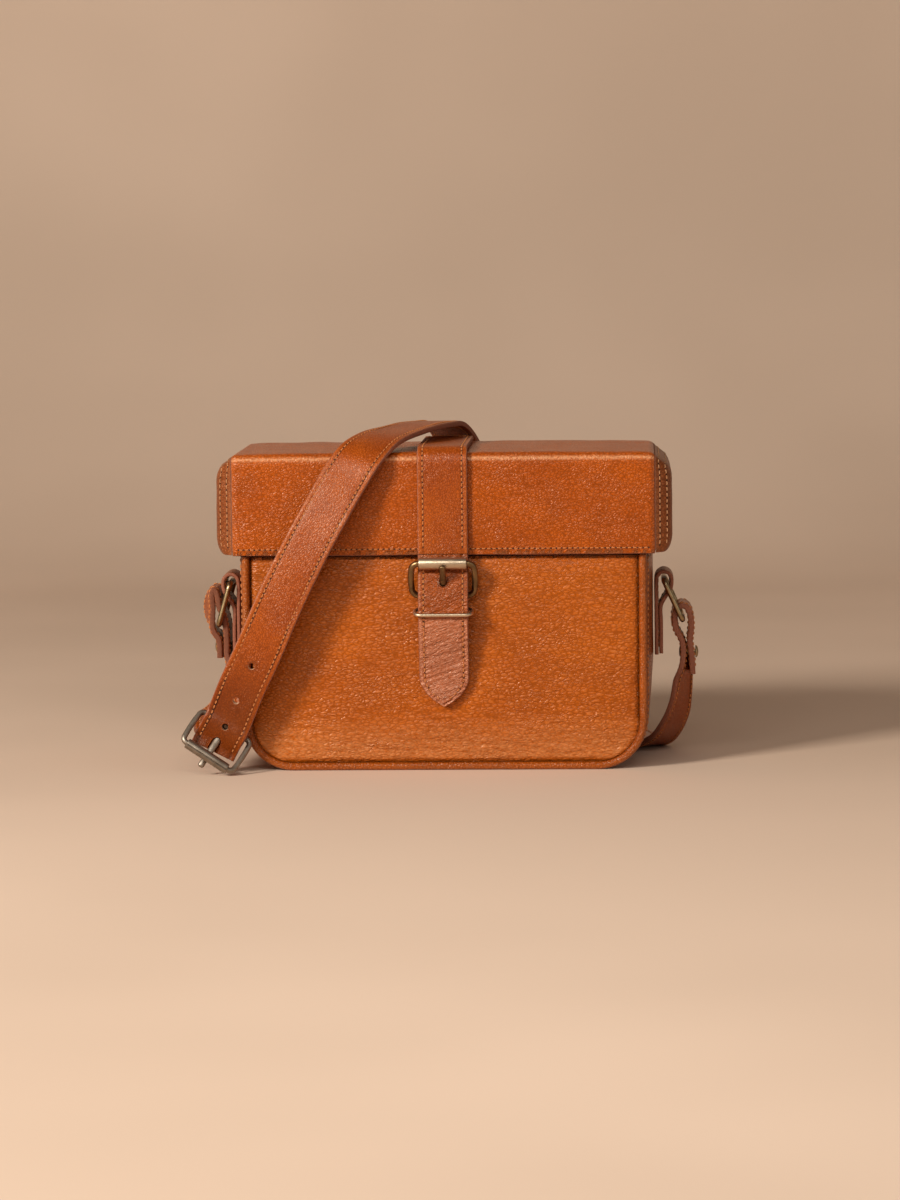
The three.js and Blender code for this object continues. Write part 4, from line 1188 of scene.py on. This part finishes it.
def hinge_strip():
    """The bending strip across the back, sewn in two rows on the body and two on the lid."""
    made, sewn = Shape(), Shape()
    half_t = hinge.half_t[0]
    x = np.linspace(-hinge_half + FOLD, hinge_half - FOLD, 120)[None, :, None]
    middle = hinge.centre[:, None] + np.array([1.0, 0, 0]) * x
    sides = [middle + hinge.up[:, None] * h for h in (half_t, -half_t)]
    grain = xyz(x[..., 0], hinge.s[:, None], 0.0)
    made.sheet(*sides, grain=grain, bulge=0.4)
    outward = hinge.up[0, 1] > 0
    for at in (3.0, 12.0, hinge.s[-1] - 9.5, hinge.s[-1] - 2.6):
        k = int(np.argmin(np.abs(hinge.s - at)))
        normal = hinge.up[k] if outward else -hinge.up[k]
        xs = np.linspace(-hinge_half + 3, hinge_half - 3, 90)[:, None]
        row = hinge.centre[k] + np.array([1.0, 0, 0]) * xs + normal * (half_t - 0.05)
        sewn.stitches(row, np.tile(normal, (90, 1)), pitch=3.0, thread=0.3)
    return made, sewn


made, sewn = hinge_strip()
finish_piece(
    "hinge_strip_hide", made, TAB_SET, ("root", "lid", (0, HINGE_Y, 99), (0, HINGE_Y, 113)),
    ["hinge_strip"], thread=sewn,
)

strap_z = LID_TOP + LID_PUFF + GAP + CLOSURE_T / 2
strap_y = -(LID_HALF_D + LID_PUFF + GAP + CLOSURE_T / 2)
bend_r = LID_EDGE_R + LID_PUFF + GAP + CLOSURE_T / 2
closure_path = [(36, strap_z), (20, strap_z), (0, strap_z), (-22, strap_z)]
flat_y, flat_z = LID_HALF_D - LID_EDGE_R, LID_TOP - LID_EDGE_R
for turn in np.radians([90, 112.5, 135, 157.5, 180]):
    closure_path.append((-flat_y + bend_r * math.cos(turn), flat_z + bend_r * math.sin(turn)))
closure_path += [(strap_y, 140), (strap_y, 125), (strap_y, 109.9)]
closure = Strap([(0, y, z, *ACROSS) for y, z in closure_path], CLOSURE_W, CLOSURE_T)
strap_piece(
    "closure_strap_hide", closure, STRAP_SET, "lid", ["closure_strap"],
    sew=dict(ends=("start",)),
)


# ---- rods, wire loops and turned parts

def ring_round(centre, axis, radius, sides):
    """A circle of points round an axis."""
    first = unit(np.cross(axis, (0, 1, 0) if abs(axis[0]) > 0.9 else (1, 0, 0)))
    second = np.cross(axis, first)
    turns = np.linspace(0, 2 * math.pi, sides, endpoint=False)[:, None]
    return centre + radius * (first * np.cos(turns) + second * np.sin(turns))


def rod(shape, start, end, profile, sides=18, slot=0):
    """A round rod from start to end; profile is rows of share along and radius."""
    start, end = np.array(start, float), np.array(end, float)
    axis = unit(end - start)
    rings = []
    for t, r in profile:
        rings.append(ring_round(start + (end - start) * t, axis, max(r, 0.02), sides))
    shape.grid(np.array(rings), loop_u=True, capped=True, slot=slot)


def plain_rod(radius):
    """The profile of a straight rod, for rod()."""
    return [(0, radius), (1, radius)]


def turned(shape, centre, axis, profile, sides=40, groove=0.0):
    """A ring-shaped part turned about an axis. profile is a closed line of radius and place along the axis,
    and groove is the depth of a rolled tube's seam."""
    axis = unit(axis)
    rings = []
    for r, s in profile:
        middle = np.asarray(centre) + axis * s
        ring = ring_round(middle, axis, r, sides)
        if groove:
            ring[0] += (middle - ring[0]) * groove / r
        rings.append(ring)
    shape.grid(np.array(rings), loop_u=True, loop_v=True)


def tube_profile(inner, outer, length, soft=0.5):
    """Section of a tube with rounded rims: radius and place along."""
    half = length / 2
    found = [(inner, -half + soft), (inner, half - soft)]
    quarter = np.radians([0, 30, 60, 90])
    for sign in (1, -1):
        arc = []
        for t in quarter:
            arc.append((outer - soft + soft * math.sin(t), sign * (half - soft + soft * math.cos(t))))
        lip = [(inner + 0.15, sign * half)]
        found += lip + arc if sign > 0 else arc[::-1] + lip
    return found


def wire_loop(origin, u, v, half_w, length, wire_r, corner_r, sides=18, bow=0.0):
    """A wire rectangle with round corners, u across and v along; its arms bow outwards by bow."""
    u, v = unit(u), unit(v)
    normal = unit(np.cross(u, v))
    centres, outs = [], []
    for cu, cv, start in ((half_w, 0, -90), (half_w, length, 0), (-half_w, length, 90), (-half_w, 0, 180)):
        up_to = corner_r if cv == 0 else length - corner_r
        middle = origin + u * (cu - math.copysign(corner_r, cu)) + v * up_to
        for t in np.radians(start + np.linspace(0, 90, 11)):
            out = u * math.cos(t) + v * math.sin(t)
            centres.append(middle + out * corner_r)
            outs.append(out)
    centres, outs = np.array(centres), np.array(outs)
    closed = np.vstack([centres, centres[:1]])
    s = lengths(closed)
    at = np.unique(np.concatenate([s[:-1], np.arange(0, s[-1], 1.2)]))
    line, out = along(closed, at, np.vstack([outs, outs[:1]]))
    out = unit(out)
    reach, side = (line - origin) @ v / length, (line - origin) @ u
    line = line + u * (np.sign(side) * bow * np.sin(math.pi * np.clip(reach, 0, 1)))[:, None]
    turns = np.linspace(0, 2 * math.pi, sides, endpoint=False)
    r = wire_r * (1 + 0.012 * np.sin(at * 0.7))[:, None, None]
    rings = line[:, None] + r * (
        out[:, None] * np.cos(turns)[None, :, None] + normal * np.sin(turns)[None, :, None]
    )
    made = Shape()
    made.grid(rings, loop_u=True, loop_v=True, wear=(0.4 * hump(turns, 0.9))[None, :])
    return made


def metal_piece(name, shape, look, body, nodes):
    finish_piece(name, shape, [look], body, nodes, sharp=35)


# ---- closure: tongue, chape, buckle and keeper

bar = np.array([0, BAR_Y, BAR_Z])
prong_tip = np.array([0, -61.6, 104.6])
prong_way = unit(prong_tip - bar)

TONGUE_SLANT = 0.35
tongue_creases = ripples(14, 2.4, 5.5, stretch=0.3)
tongue = Strap([(0, y, z, *ACROSS, CLOSURE_T, share) for y, z, share in (
    (-51.6, 109.6, 1), (-51.6, 104, 1), (-53.2, 97.5, 1), (-55.1, 91.5, 1), (-55.6, 86.5, 1), (-55.5, 81, 1),
    (-54.7, 74, 1), (-52.4, 63, 1), (-50.2, 53, 1), (-49.0, 45, 0.97), (-48.8, 40, 0.76), (-48.8, 36, 0.45),
    (-48.8, 33, 0.07),
)], CLOSURE_W, CLOSURE_T, spacing=1.0)
holes = Shape()
rod(holes, bar + prong_way * 2.5, bar + prong_way * 15.5, plain_rod(PRONG_R + 0.7), 20)
strap_piece(
    "closure_tongue_hide", tongue, TONGUE_SET, "lid", ["closure_tongue"], sew={},
    holes=holes, skin=dict(
        creases=lambda s, a: 0.3 * tongue_creases(s + TONGUE_SLANT * a, a) * smooth((s - 22) / 12),
        # painted sheen: the tongue's lower part is painted lighter and pinker
        painted_light_along=lambda s: 0.6 * smooth((s - 29) / 4), slant=TONGUE_SLANT,
    ),
)

CHAPE_BORE = 1.9
fold_y = BAR_Y + CHAPE_BORE + CHAPE_T / 2
fold_r = CHAPE_BORE + CHAPE_T / 2
slope = fold_r * 0.71
chape = Strap([(0, y, z, *ACROSS) for y, z in (
    (fold_y, 60), (fold_y, 70), (fold_y, 80), (fold_y, BAR_Z), (BAR_Y + slope, BAR_Z + slope),
    (BAR_Y, BAR_Z + fold_r), (BAR_Y - slope, BAR_Z + slope), (BAR_Y - fold_r, BAR_Z),
    (BAR_Y - fold_r, 80), (fold_y - 3, 73), (fold_y - 1.95, 68), (fold_y - 1.95, 60),
)], CHAPE_W, CHAPE_T, spacing=0.8)


def block(x, y, z):
    """A box cutter with eight corners."""
    made = Shape()
    rings = [[(x[0], y[0], h), (x[1], y[0], h), (x[1], y[1], h), (x[0], y[1], h)] for h in z]
    made.grid(np.array(rings, float), loop_u=True, capped=True)
    return made


strap_piece(
    "closure_chape_hide", chape, TAB_SET, "root", ["closure_chape"],
    sew=dict(faces=(1,), pitch=3.0), holes=block((-2.6, 2.6), (-54, -46.6), (84, 94)), skin=dict(groove=0.08),
)

frame_up = np.array([0, ROLLER_Y - BAR_Y, ROLLER_Z - BAR_Z])
metal_piece(
    "closure_buckle_wire",
    wire_loop(bar, ACROSS, frame_up, FRAME_HALF_W, np.linalg.norm(frame_up), FRAME_WIRE_R, 3.2, bow=0.9),
    bronze, "closure_frame", ["closure_buckle_frame"],
)
made = Shape()
sleeve = tube_profile(FRAME_WIRE_R + 0.3, ROLLER_R, ROLLER_LENGTH)
turned(made, (0, ROLLER_Y, ROLLER_Z), ACROSS, sleeve, groove=0.5)
metal_piece(
    "closure_buckle_sleeve", made, bright_brass, "closure_roller", ["closure_buckle_roller"],
)


def prong(pivot, tip, axis, inner, outer, wide, radius):
    """A buckle prong: a coil round its bar and a tapering, flattened pin with a round tip."""
    made = Shape()
    turned(made, pivot, axis, tube_profile(inner, outer, wide), sides=32)
    way = unit(tip - pivot)
    reach = np.linalg.norm(tip - pivot)
    start = (outer - 0.7) / reach
    profile = [(start, radius * 1.1), (0.3, radius * 1.08), (0.6, radius), (0.85, radius * 0.95)]
    for k in (0.9, 0.6, 0.35, 0.15, 0.0):
        profile.append((1 - k * radius / reach, radius * math.sqrt(max(0, 1 - (1 - k) ** 2))))
    rod(made, pivot, pivot + way * reach, profile)
    pin = made.points[-1]
    pin += np.outer((pin - pivot) @ unit(axis) * (PRONG_FLAT - 1), unit(axis))
    return made


metal_piece(
    "closure_buckle_pin", prong(bar, prong_tip, ACROSS, FRAME_WIRE_R + 0.25, 3.0, COIL_WIDE, PRONG_R),
    bronze, "closure_prong", ["closure_buckle_prong"],
)
KEEPER_HALF_W, KEEPER_LENGTH, KEEPER_WIRE_R = 14.3, 9.1, 0.95
keeper_pivot = np.array([0, BAR_Y, 81.9])
metal_piece(
    "closure_keeper_wire",
    wire_loop(keeper_pivot, ACROSS, (0, -0.97, -0.24), KEEPER_HALF_W, KEEPER_LENGTH, KEEPER_WIRE_R, 3.4),
    bright_brass, "keeper", ["closure_keeper"],
)


# ---- side tabs, rings and rivets

RING_X, RING_Z = 110.5, 92.0
RING_HALF_W, RING_DROP, RING_WIRE_R = 14.6, 22.0, 1.4
TAB_W, TAB_T = 22.0, 2.0
LEAN = {-1: 16.0, 1: 24.7}

for sign, side in ((-1, "left"), (1, "right")):
    back = BODY_HALF_W + GUSSET_BULGE + 0.7 + TAB_T / 2
    layer = TAB_T + GAP
    loop_x = RING_X - back
    path = [(back, 54), (back, 66), (back, 78), (back, RING_Z)]
    for t in np.radians([150, 120, 90, 60, 30]):
        path.append((RING_X + loop_x * math.cos(t), RING_Z + 4.4 * math.sin(t)))
    path += [(RING_X + loop_x, RING_Z), (RING_X + loop_x - 0.6, 87.6), (RING_X + 0.6, 83.4)]
    path += [(back + layer, 79), (back + layer, 70), (back + layer, 54.6)]
    tab = Strap([(sign * x, 0, z, *ALONG_Y) for x, z in path], TAB_W, TAB_T, spacing=1.0)
    strap_piece(
        f"{side}_ring_tab_hide", tab, TAB_SET, "root", [f"{side}_ring_tab"],
        sew=dict(faces=(-sign,), ends=("end",), pitch=3.0, thread=0.32), skin=dict(groove=0.1),
    )
    down = (sign * math.sin(rad(LEAN[sign])), 0, -math.cos(rad(LEAN[sign])))
    pivot = np.array([sign * RING_X, 0, RING_Z])
    made = wire_loop(pivot, ALONG_Y, down, RING_HALF_W, RING_DROP, RING_WIRE_R, 3)
    metal_piece(f"{side}_ring_wire", made, brass, f"{side}_ring", [f"{side}_ring"])


# ---- shoulder strap buckle: bu runs along its bars, bv from the roller up to the pivot bar, bn outwards

STRAP_W, STRAP_T = 23.5, 3.0
STRAP_FRAME_HALF_W, PIVOT = 14.6, 20.0
STRAP_WIRE_R, STRAP_ROLLER_R, STRAP_ROLLER_LENGTH = 1.4, 2.65, 24.0

BUCKLE = np.array([-118.5, -64.5, 10.3])
bu = unit((0.83, 0, -0.557))
bv = np.array([0.445, 0.6, 0.664])
bv = unit(bv - (bv @ bu) * bu)
bn = np.cross(bu, bv)
bn = -bn if bn[1] > 0 else bn


def local(v, n):
    """A place in the strap buckle, v towards its pivot bar and n outwards."""
    return BUCKLE + bv * v + bn * n


metal_piece(
    "strap_buckle_wire", wire_loop(BUCKLE, bu, bv, STRAP_FRAME_HALF_W, PIVOT, STRAP_WIRE_R, 2.4, bow=0.5),
    nickel, "root", ["strap_buckle_frame"],
)
made = Shape()
turned(made, BUCKLE, bu, tube_profile(STRAP_WIRE_R + 0.3, STRAP_ROLLER_R, STRAP_ROLLER_LENGTH), groove=0.4)
metal_piece("strap_buckle_sleeve", made, nickel, "strap_roller", ["strap_buckle_roller"])
strap_prong_tip = local(-4.6, -5.4)
metal_piece(
    "strap_buckle_pin",
    prong(local(PIVOT, 0), strap_prong_tip, bu, STRAP_WIRE_R + 0.25, 2.8, COIL_WIDE, PRONG_R),
    nickel, "strap_prong", ["strap_buckle_prong"],
)


# ---- shoulder strap

long_strap = Strap([
    *[(x, 0, z, *ALONG_Y) for x, z in (
        (124.9, 44), (124.7, 50), (124.2, 56), (123.6, 61), (124.2, 67), (124.0, 73), (122.4, 77.6),
        (119.8, 79.2), (117.0, 77.4), (115.7, 73), (116.4, 67), (119.3, 61.4),
    )],
    (120.6, 0, 56, 0.03, 1, 0), (120.9, 0, 50, 0.12, 0.99, 0), (120.2, 2, 43, 0.32, 0.95, 0),
    (119.0, 6, 32, 0.4, 0.92, 0), (116.4, 11, 21, 0.5, 0.86, 0), (112.2, 18.5, 11.5, 0.62, 0.78, 0.08),
    (106.6, 28, 5, 0.78, 0.62, 0.04),
    (101.8, 40, 1.9, 0.86, 0.5, 0), (97.5, 56, 1.9, 0.92, 0.36, 0), (91.5, 84, 1.9, 0.96, 0.28, 0),
    (84.5, 110, 2.4, 0.96, 0.28, 0), (77.5, 128, 9.5, 0.97, 0.24, 0), (69.0, 133, 25, 0.98, 0.2, 0),
    (55.0, 124, 44, 0.98, 0.1, 0.1), (37.0, 101, 74, 0.97, 0, 0.25), (20.5, 80, 110, 0.96, -0.1, 0.25),
    (8.5, 66, 143, 0.96, -0.2, 0.15), (3.5, 58, 159, 0.95, -0.3, 0.05), (-1.5, 44, 168, 0.93, -0.36, 0),
    (-9.0, 14, 170.8, 0.91, -0.41, 0), (-20.5, -16, 169.8, 0.91, -0.4, -0.06),
    (-32.5, -41, 166.2, 0.9, -0.38, -0.15),
    (-41.0, -53.5, 159.0, 0.89, -0.3, -0.35), (-48.2, -57.5, 148.5, 0.88, -0.22, -0.45),
    (-57.0, -60.5, 133, 0.88, -0.22, -0.47), (-67.0, -62.5, 115.2, 0.885, -0.18, -0.465),
    (-80.7, -63, 88, 0.9, -0.06, -0.43), (-92.8, -62.5, 61, 0.91, 0, -0.41),
    (-100.8, -60.6, 44.5, 0.905, 0, -0.425),
    *[(*(local(v, n) + bu * shift), *bu) for v, n, shift in (
        (PIVOT, 6.2, -0.9), (17, 4.8, -0.5), (14.2, 1.2, -0.1), (10.8, -3.9, 0.4), (7, -5.9, 0.9),
    )],
], STRAP_W, STRAP_T)
SPLIT_Y = 84.0
split = int(np.argmin(np.linalg.norm(long_strap.centre - [92.0, SPLIT_Y, 1.9], axis=1)))
index = np.arange(len(long_strap.s))
strap_waves = ripples(8, 25, 60, stretch=1.5)
wavy = dict(
    creases=lambda s, a: 0.22 * strap_waves(s, a),
    # painted shade: the last stretch towards the buckle is painted darker
    painted_light_along=lambda s: -0.7 * smooth((s - long_strap.s[-1] + 66) / 50),
)

RIVET_Z, LEFT_RIVET_Z = 54.5, 58.5
RIVET_R, RIVET_HOLE_R, STRAP_HOLE_R = 3.2, 1.5, 1.75
STRAP_HOLE_HEIGHTS = (54.9, 38.2, 24.8)
RIGHT_BLEND = ("root", "right_ring", (0, 0, 6), (0, 0, 66))
LEFT_BLEND = ("root", "left_ring", (0, 0, 28), (0, 0, 72))
holes = Shape()
rod(holes, (117, 0, RIVET_Z), (128.5, 0, RIVET_Z), plain_rod(RIVET_HOLE_R), 20)
strap_piece(
    "strap_long_right_hide", long_strap.part(index <= split), STRAP_SET,
    RIGHT_BLEND, ["strap_long"],
    sew={}, holes=holes, skin=wavy,
)
holes = Shape()
near_end = long_strap.s >= long_strap.s[-1] - 80
for z in STRAP_HOLE_HEIGHTS:
    k = np.argmin(np.where(near_end, np.abs(long_strap.centre[:, 2] - z), np.inf))
    middle, through = long_strap.centre[k], long_strap.up[k] * 6
    rod(holes, middle - through, middle + through, plain_rod(STRAP_HOLE_R), 22, slot=Shape.PUNCHED)
prong_way = unit(strap_prong_tip - local(PIVOT, 0))
slot_start, slot_end = local(PIVOT, 0) + prong_way * 3, local(PIVOT, -0.75) + prong_way * 14
rod(holes, slot_start, slot_end, plain_rod(PRONG_R + 1.3), 20)
strap_piece(
    "strap_long_over_hide", long_strap.part(index >= split), STRAP_SET,
    ("root", "lid", (0, 0, 14), (0, 0, 134)), ["strap_long"],
    sew={}, holes=holes, skin=wavy,
)

back_u = -bu
short_strap = Strap([
    (-116.5, 0, 53.6, *ALONG_Y), (-116.5, 0, 58, *ALONG_Y), (-117.0, 0, 63, *ALONG_Y),
    (-120.4, 0, 67.5, -0.07, 1, 0), (-122.2, 0, 73, -0.2, 0.98, 0), (-122.4, 0, 80, -0.24, 0.97, 0),
    (-121.3, 0, 86, -0.12, 1, 0),
    *[(x, y, z, *ALONG_Y) for x, y, z in (
        (-119.1, 0, 88.8), (-117.6, 0, 86), (-116.6, 0, 80), (-114.3, 0, 74.5), (-113.2, 0, 68),
        (-113.0, 0, 60), (-112.9, -1, 52),
    )],
    (-113.3, -5, 43, -0.2, 0.97, 0),
    (-114.9, -12, 33, -0.45, 0.88, 0.1), (-116.6, -22, 25, -0.72, 0.6, 0.3),
    (-116.6, -33, 19.5, -0.85, 0.25, 0.45),
    (*local(PIVOT - 2.95, -14), *back_u, 2.4),
    *[(*local(PIVOT + v, n), *back_u, 2.0) for v, n in (
        (-2.95, -8), (-2.95, -3), (-2.9, 0), (-2.05, 2.05), (0, 2.9), (2.05, 2.05), (2.9, 0), (1.7, -4),
        (-0.2, -8), (-0.55, -13),
    )],
], STRAP_W, STRAP_T, spacing=1.0)
holes = Shape()
rod(holes, local(PIVOT, 0) + bu * 2.6, local(PIVOT, 0) - bu * 2.6, plain_rod(5.0), 20)
rod(holes, (-123, 0, LEFT_RIVET_Z), (-107, 0, LEFT_RIVET_Z), plain_rod(RIVET_HOLE_R), 20)
strap_piece(
    "strap_short_hide", short_strap, SHORT_SET, LEFT_BLEND, ["strap_short"], sew={},
    holes=holes,
)


def rivet(x, z, sign, grip):
    """A domed rivet: its head at x and its cap on the far side of the strap."""
    edge = RIVET_R
    head = [(0.02, 0), (1.1, 0.05), (2.1, 0.28), (2.8, 0.65), (3.1, 1.05), (edge, 1.35), (edge - 0.1, 1.5)]
    cap = [(1.1, 1.5), (edge - 0.5, 1.5), (edge - 0.4, 1.8), (edge - 0.8, 2.1), (1.2, 2.25), (0.02, 2.3)]
    profile = head + [(1.1, 1.5)] + [(r, h + grip) for r, h in cap]
    made = Shape()
    rings = [ring_round(np.array([x - sign * h, 0, z]), np.array([1.0, 0, 0]), r, 32) for r, h in profile]
    wear = [0.6 * (r > 2 and h < 1.2) for r, h in profile]
    made.grid(np.array(rings), loop_u=True, capped=True, wear=np.array(wear)[:, None])
    return made


for side, made, blend in (
    ("right", rivet(127.9, RIVET_Z, 1, 7.6), RIGHT_BLEND),
    ("left", rivet(-119.8, LEFT_RIVET_Z, -1, 7.1), LEFT_BLEND),
):
    finish_piece(f"{side}_rivet_head", made, [brass], blend, [f"{side}_rivet"])


# ---- stage and light

def backdrop_look():
    """Matt painted backdrop, faintly uneven."""
    k = Look("backdrop", Specular_IOR_Level=0.1)
    own = k.node("TexCoord", {}, "Object")
    clouds = k.noise(own, 1.3, 3.0)
    k.put("Base Color", k.mix(k.remap(clouds, 0.35, 0.65), (0.64, 0.475, 0.355), (0.74, 0.555, 0.42)))
    k.put("Roughness", k.remap(clouds, 0.3, 0.7, 0.88, 0.95))
    return k.material


def backdrop():
    """A floor that curves up into a back wall."""
    profile = [(-3000, 0), (-1500, 0), (0, 0), (900, 0)]
    for t in np.radians(np.linspace(9, 90, 12)):
        profile.append((900 + 700 * math.sin(t), 700 * (1 - math.cos(t))))
    profile += [(1600, 1600), (1600, 4200)]
    x = np.linspace(-4200, 4200, 12)
    rows = np.array([[(a, y, z) for a in x] for y, z in profile])
    made = Shape()
    made.grid(rows)
    mesh = mesh_of("backdrop", made)
    mesh.materials.append(backdrop_look())
    mesh.polygons.foreach_set("use_smooth", [True] * len(mesh.polygons))
    return link("backdrop", mesh)


backdrop()


def area_light(name, place, aim, size, power, colour):
    """A rectangular light at a place, turned to its aim."""
    light = bpy.data.lights.new(name, "AREA")
    light.shape, light.size, light.size_y = "RECTANGLE", *size
    light.energy, light.color = power, colour
    obj = link(name, light)
    obj.location = place
    obj.rotation_euler = (Vector(aim) - Vector(place)).to_track_quat("-Z", "Y").to_euler()


def from_side(azimuth, elevation, distance):
    """A place that is azimuth degrees to the right of the front and elevation degrees up."""
    a, e = rad(azimuth), rad(elevation)
    return distance * math.sin(a) * math.cos(e), -distance * math.cos(a) * math.cos(e), distance * math.sin(e)


for name, azimuth, elevation, distance, size, power, colour in (
    ("key", -42, 27, 2.4, (0.5, 0.5), 56, (1.0, 0.95, 0.88)),
    ("fill", 50, 18, 2.8, (1.6, 1.6), 7, (1.0, 0.95, 0.9)),
    ("strip", -4, 34, 2.4, (1.7, 0.2), 15, (1.0, 0.97, 0.93)),
):
    area_light(name, from_side(azimuth, elevation, distance), (0, 0, 0.09), size, power, colour)
world = bpy.data.worlds.new("soft_room")
world.use_nodes = True
room = world.node_tree.nodes["Background"].inputs
room["Color"].default_value = (1.0, 0.93, 0.86, 1)
room["Strength"].default_value = 0.12
bpy.context.scene.world = world
bpy.context.scene.view_settings.view_transform = "Standard"
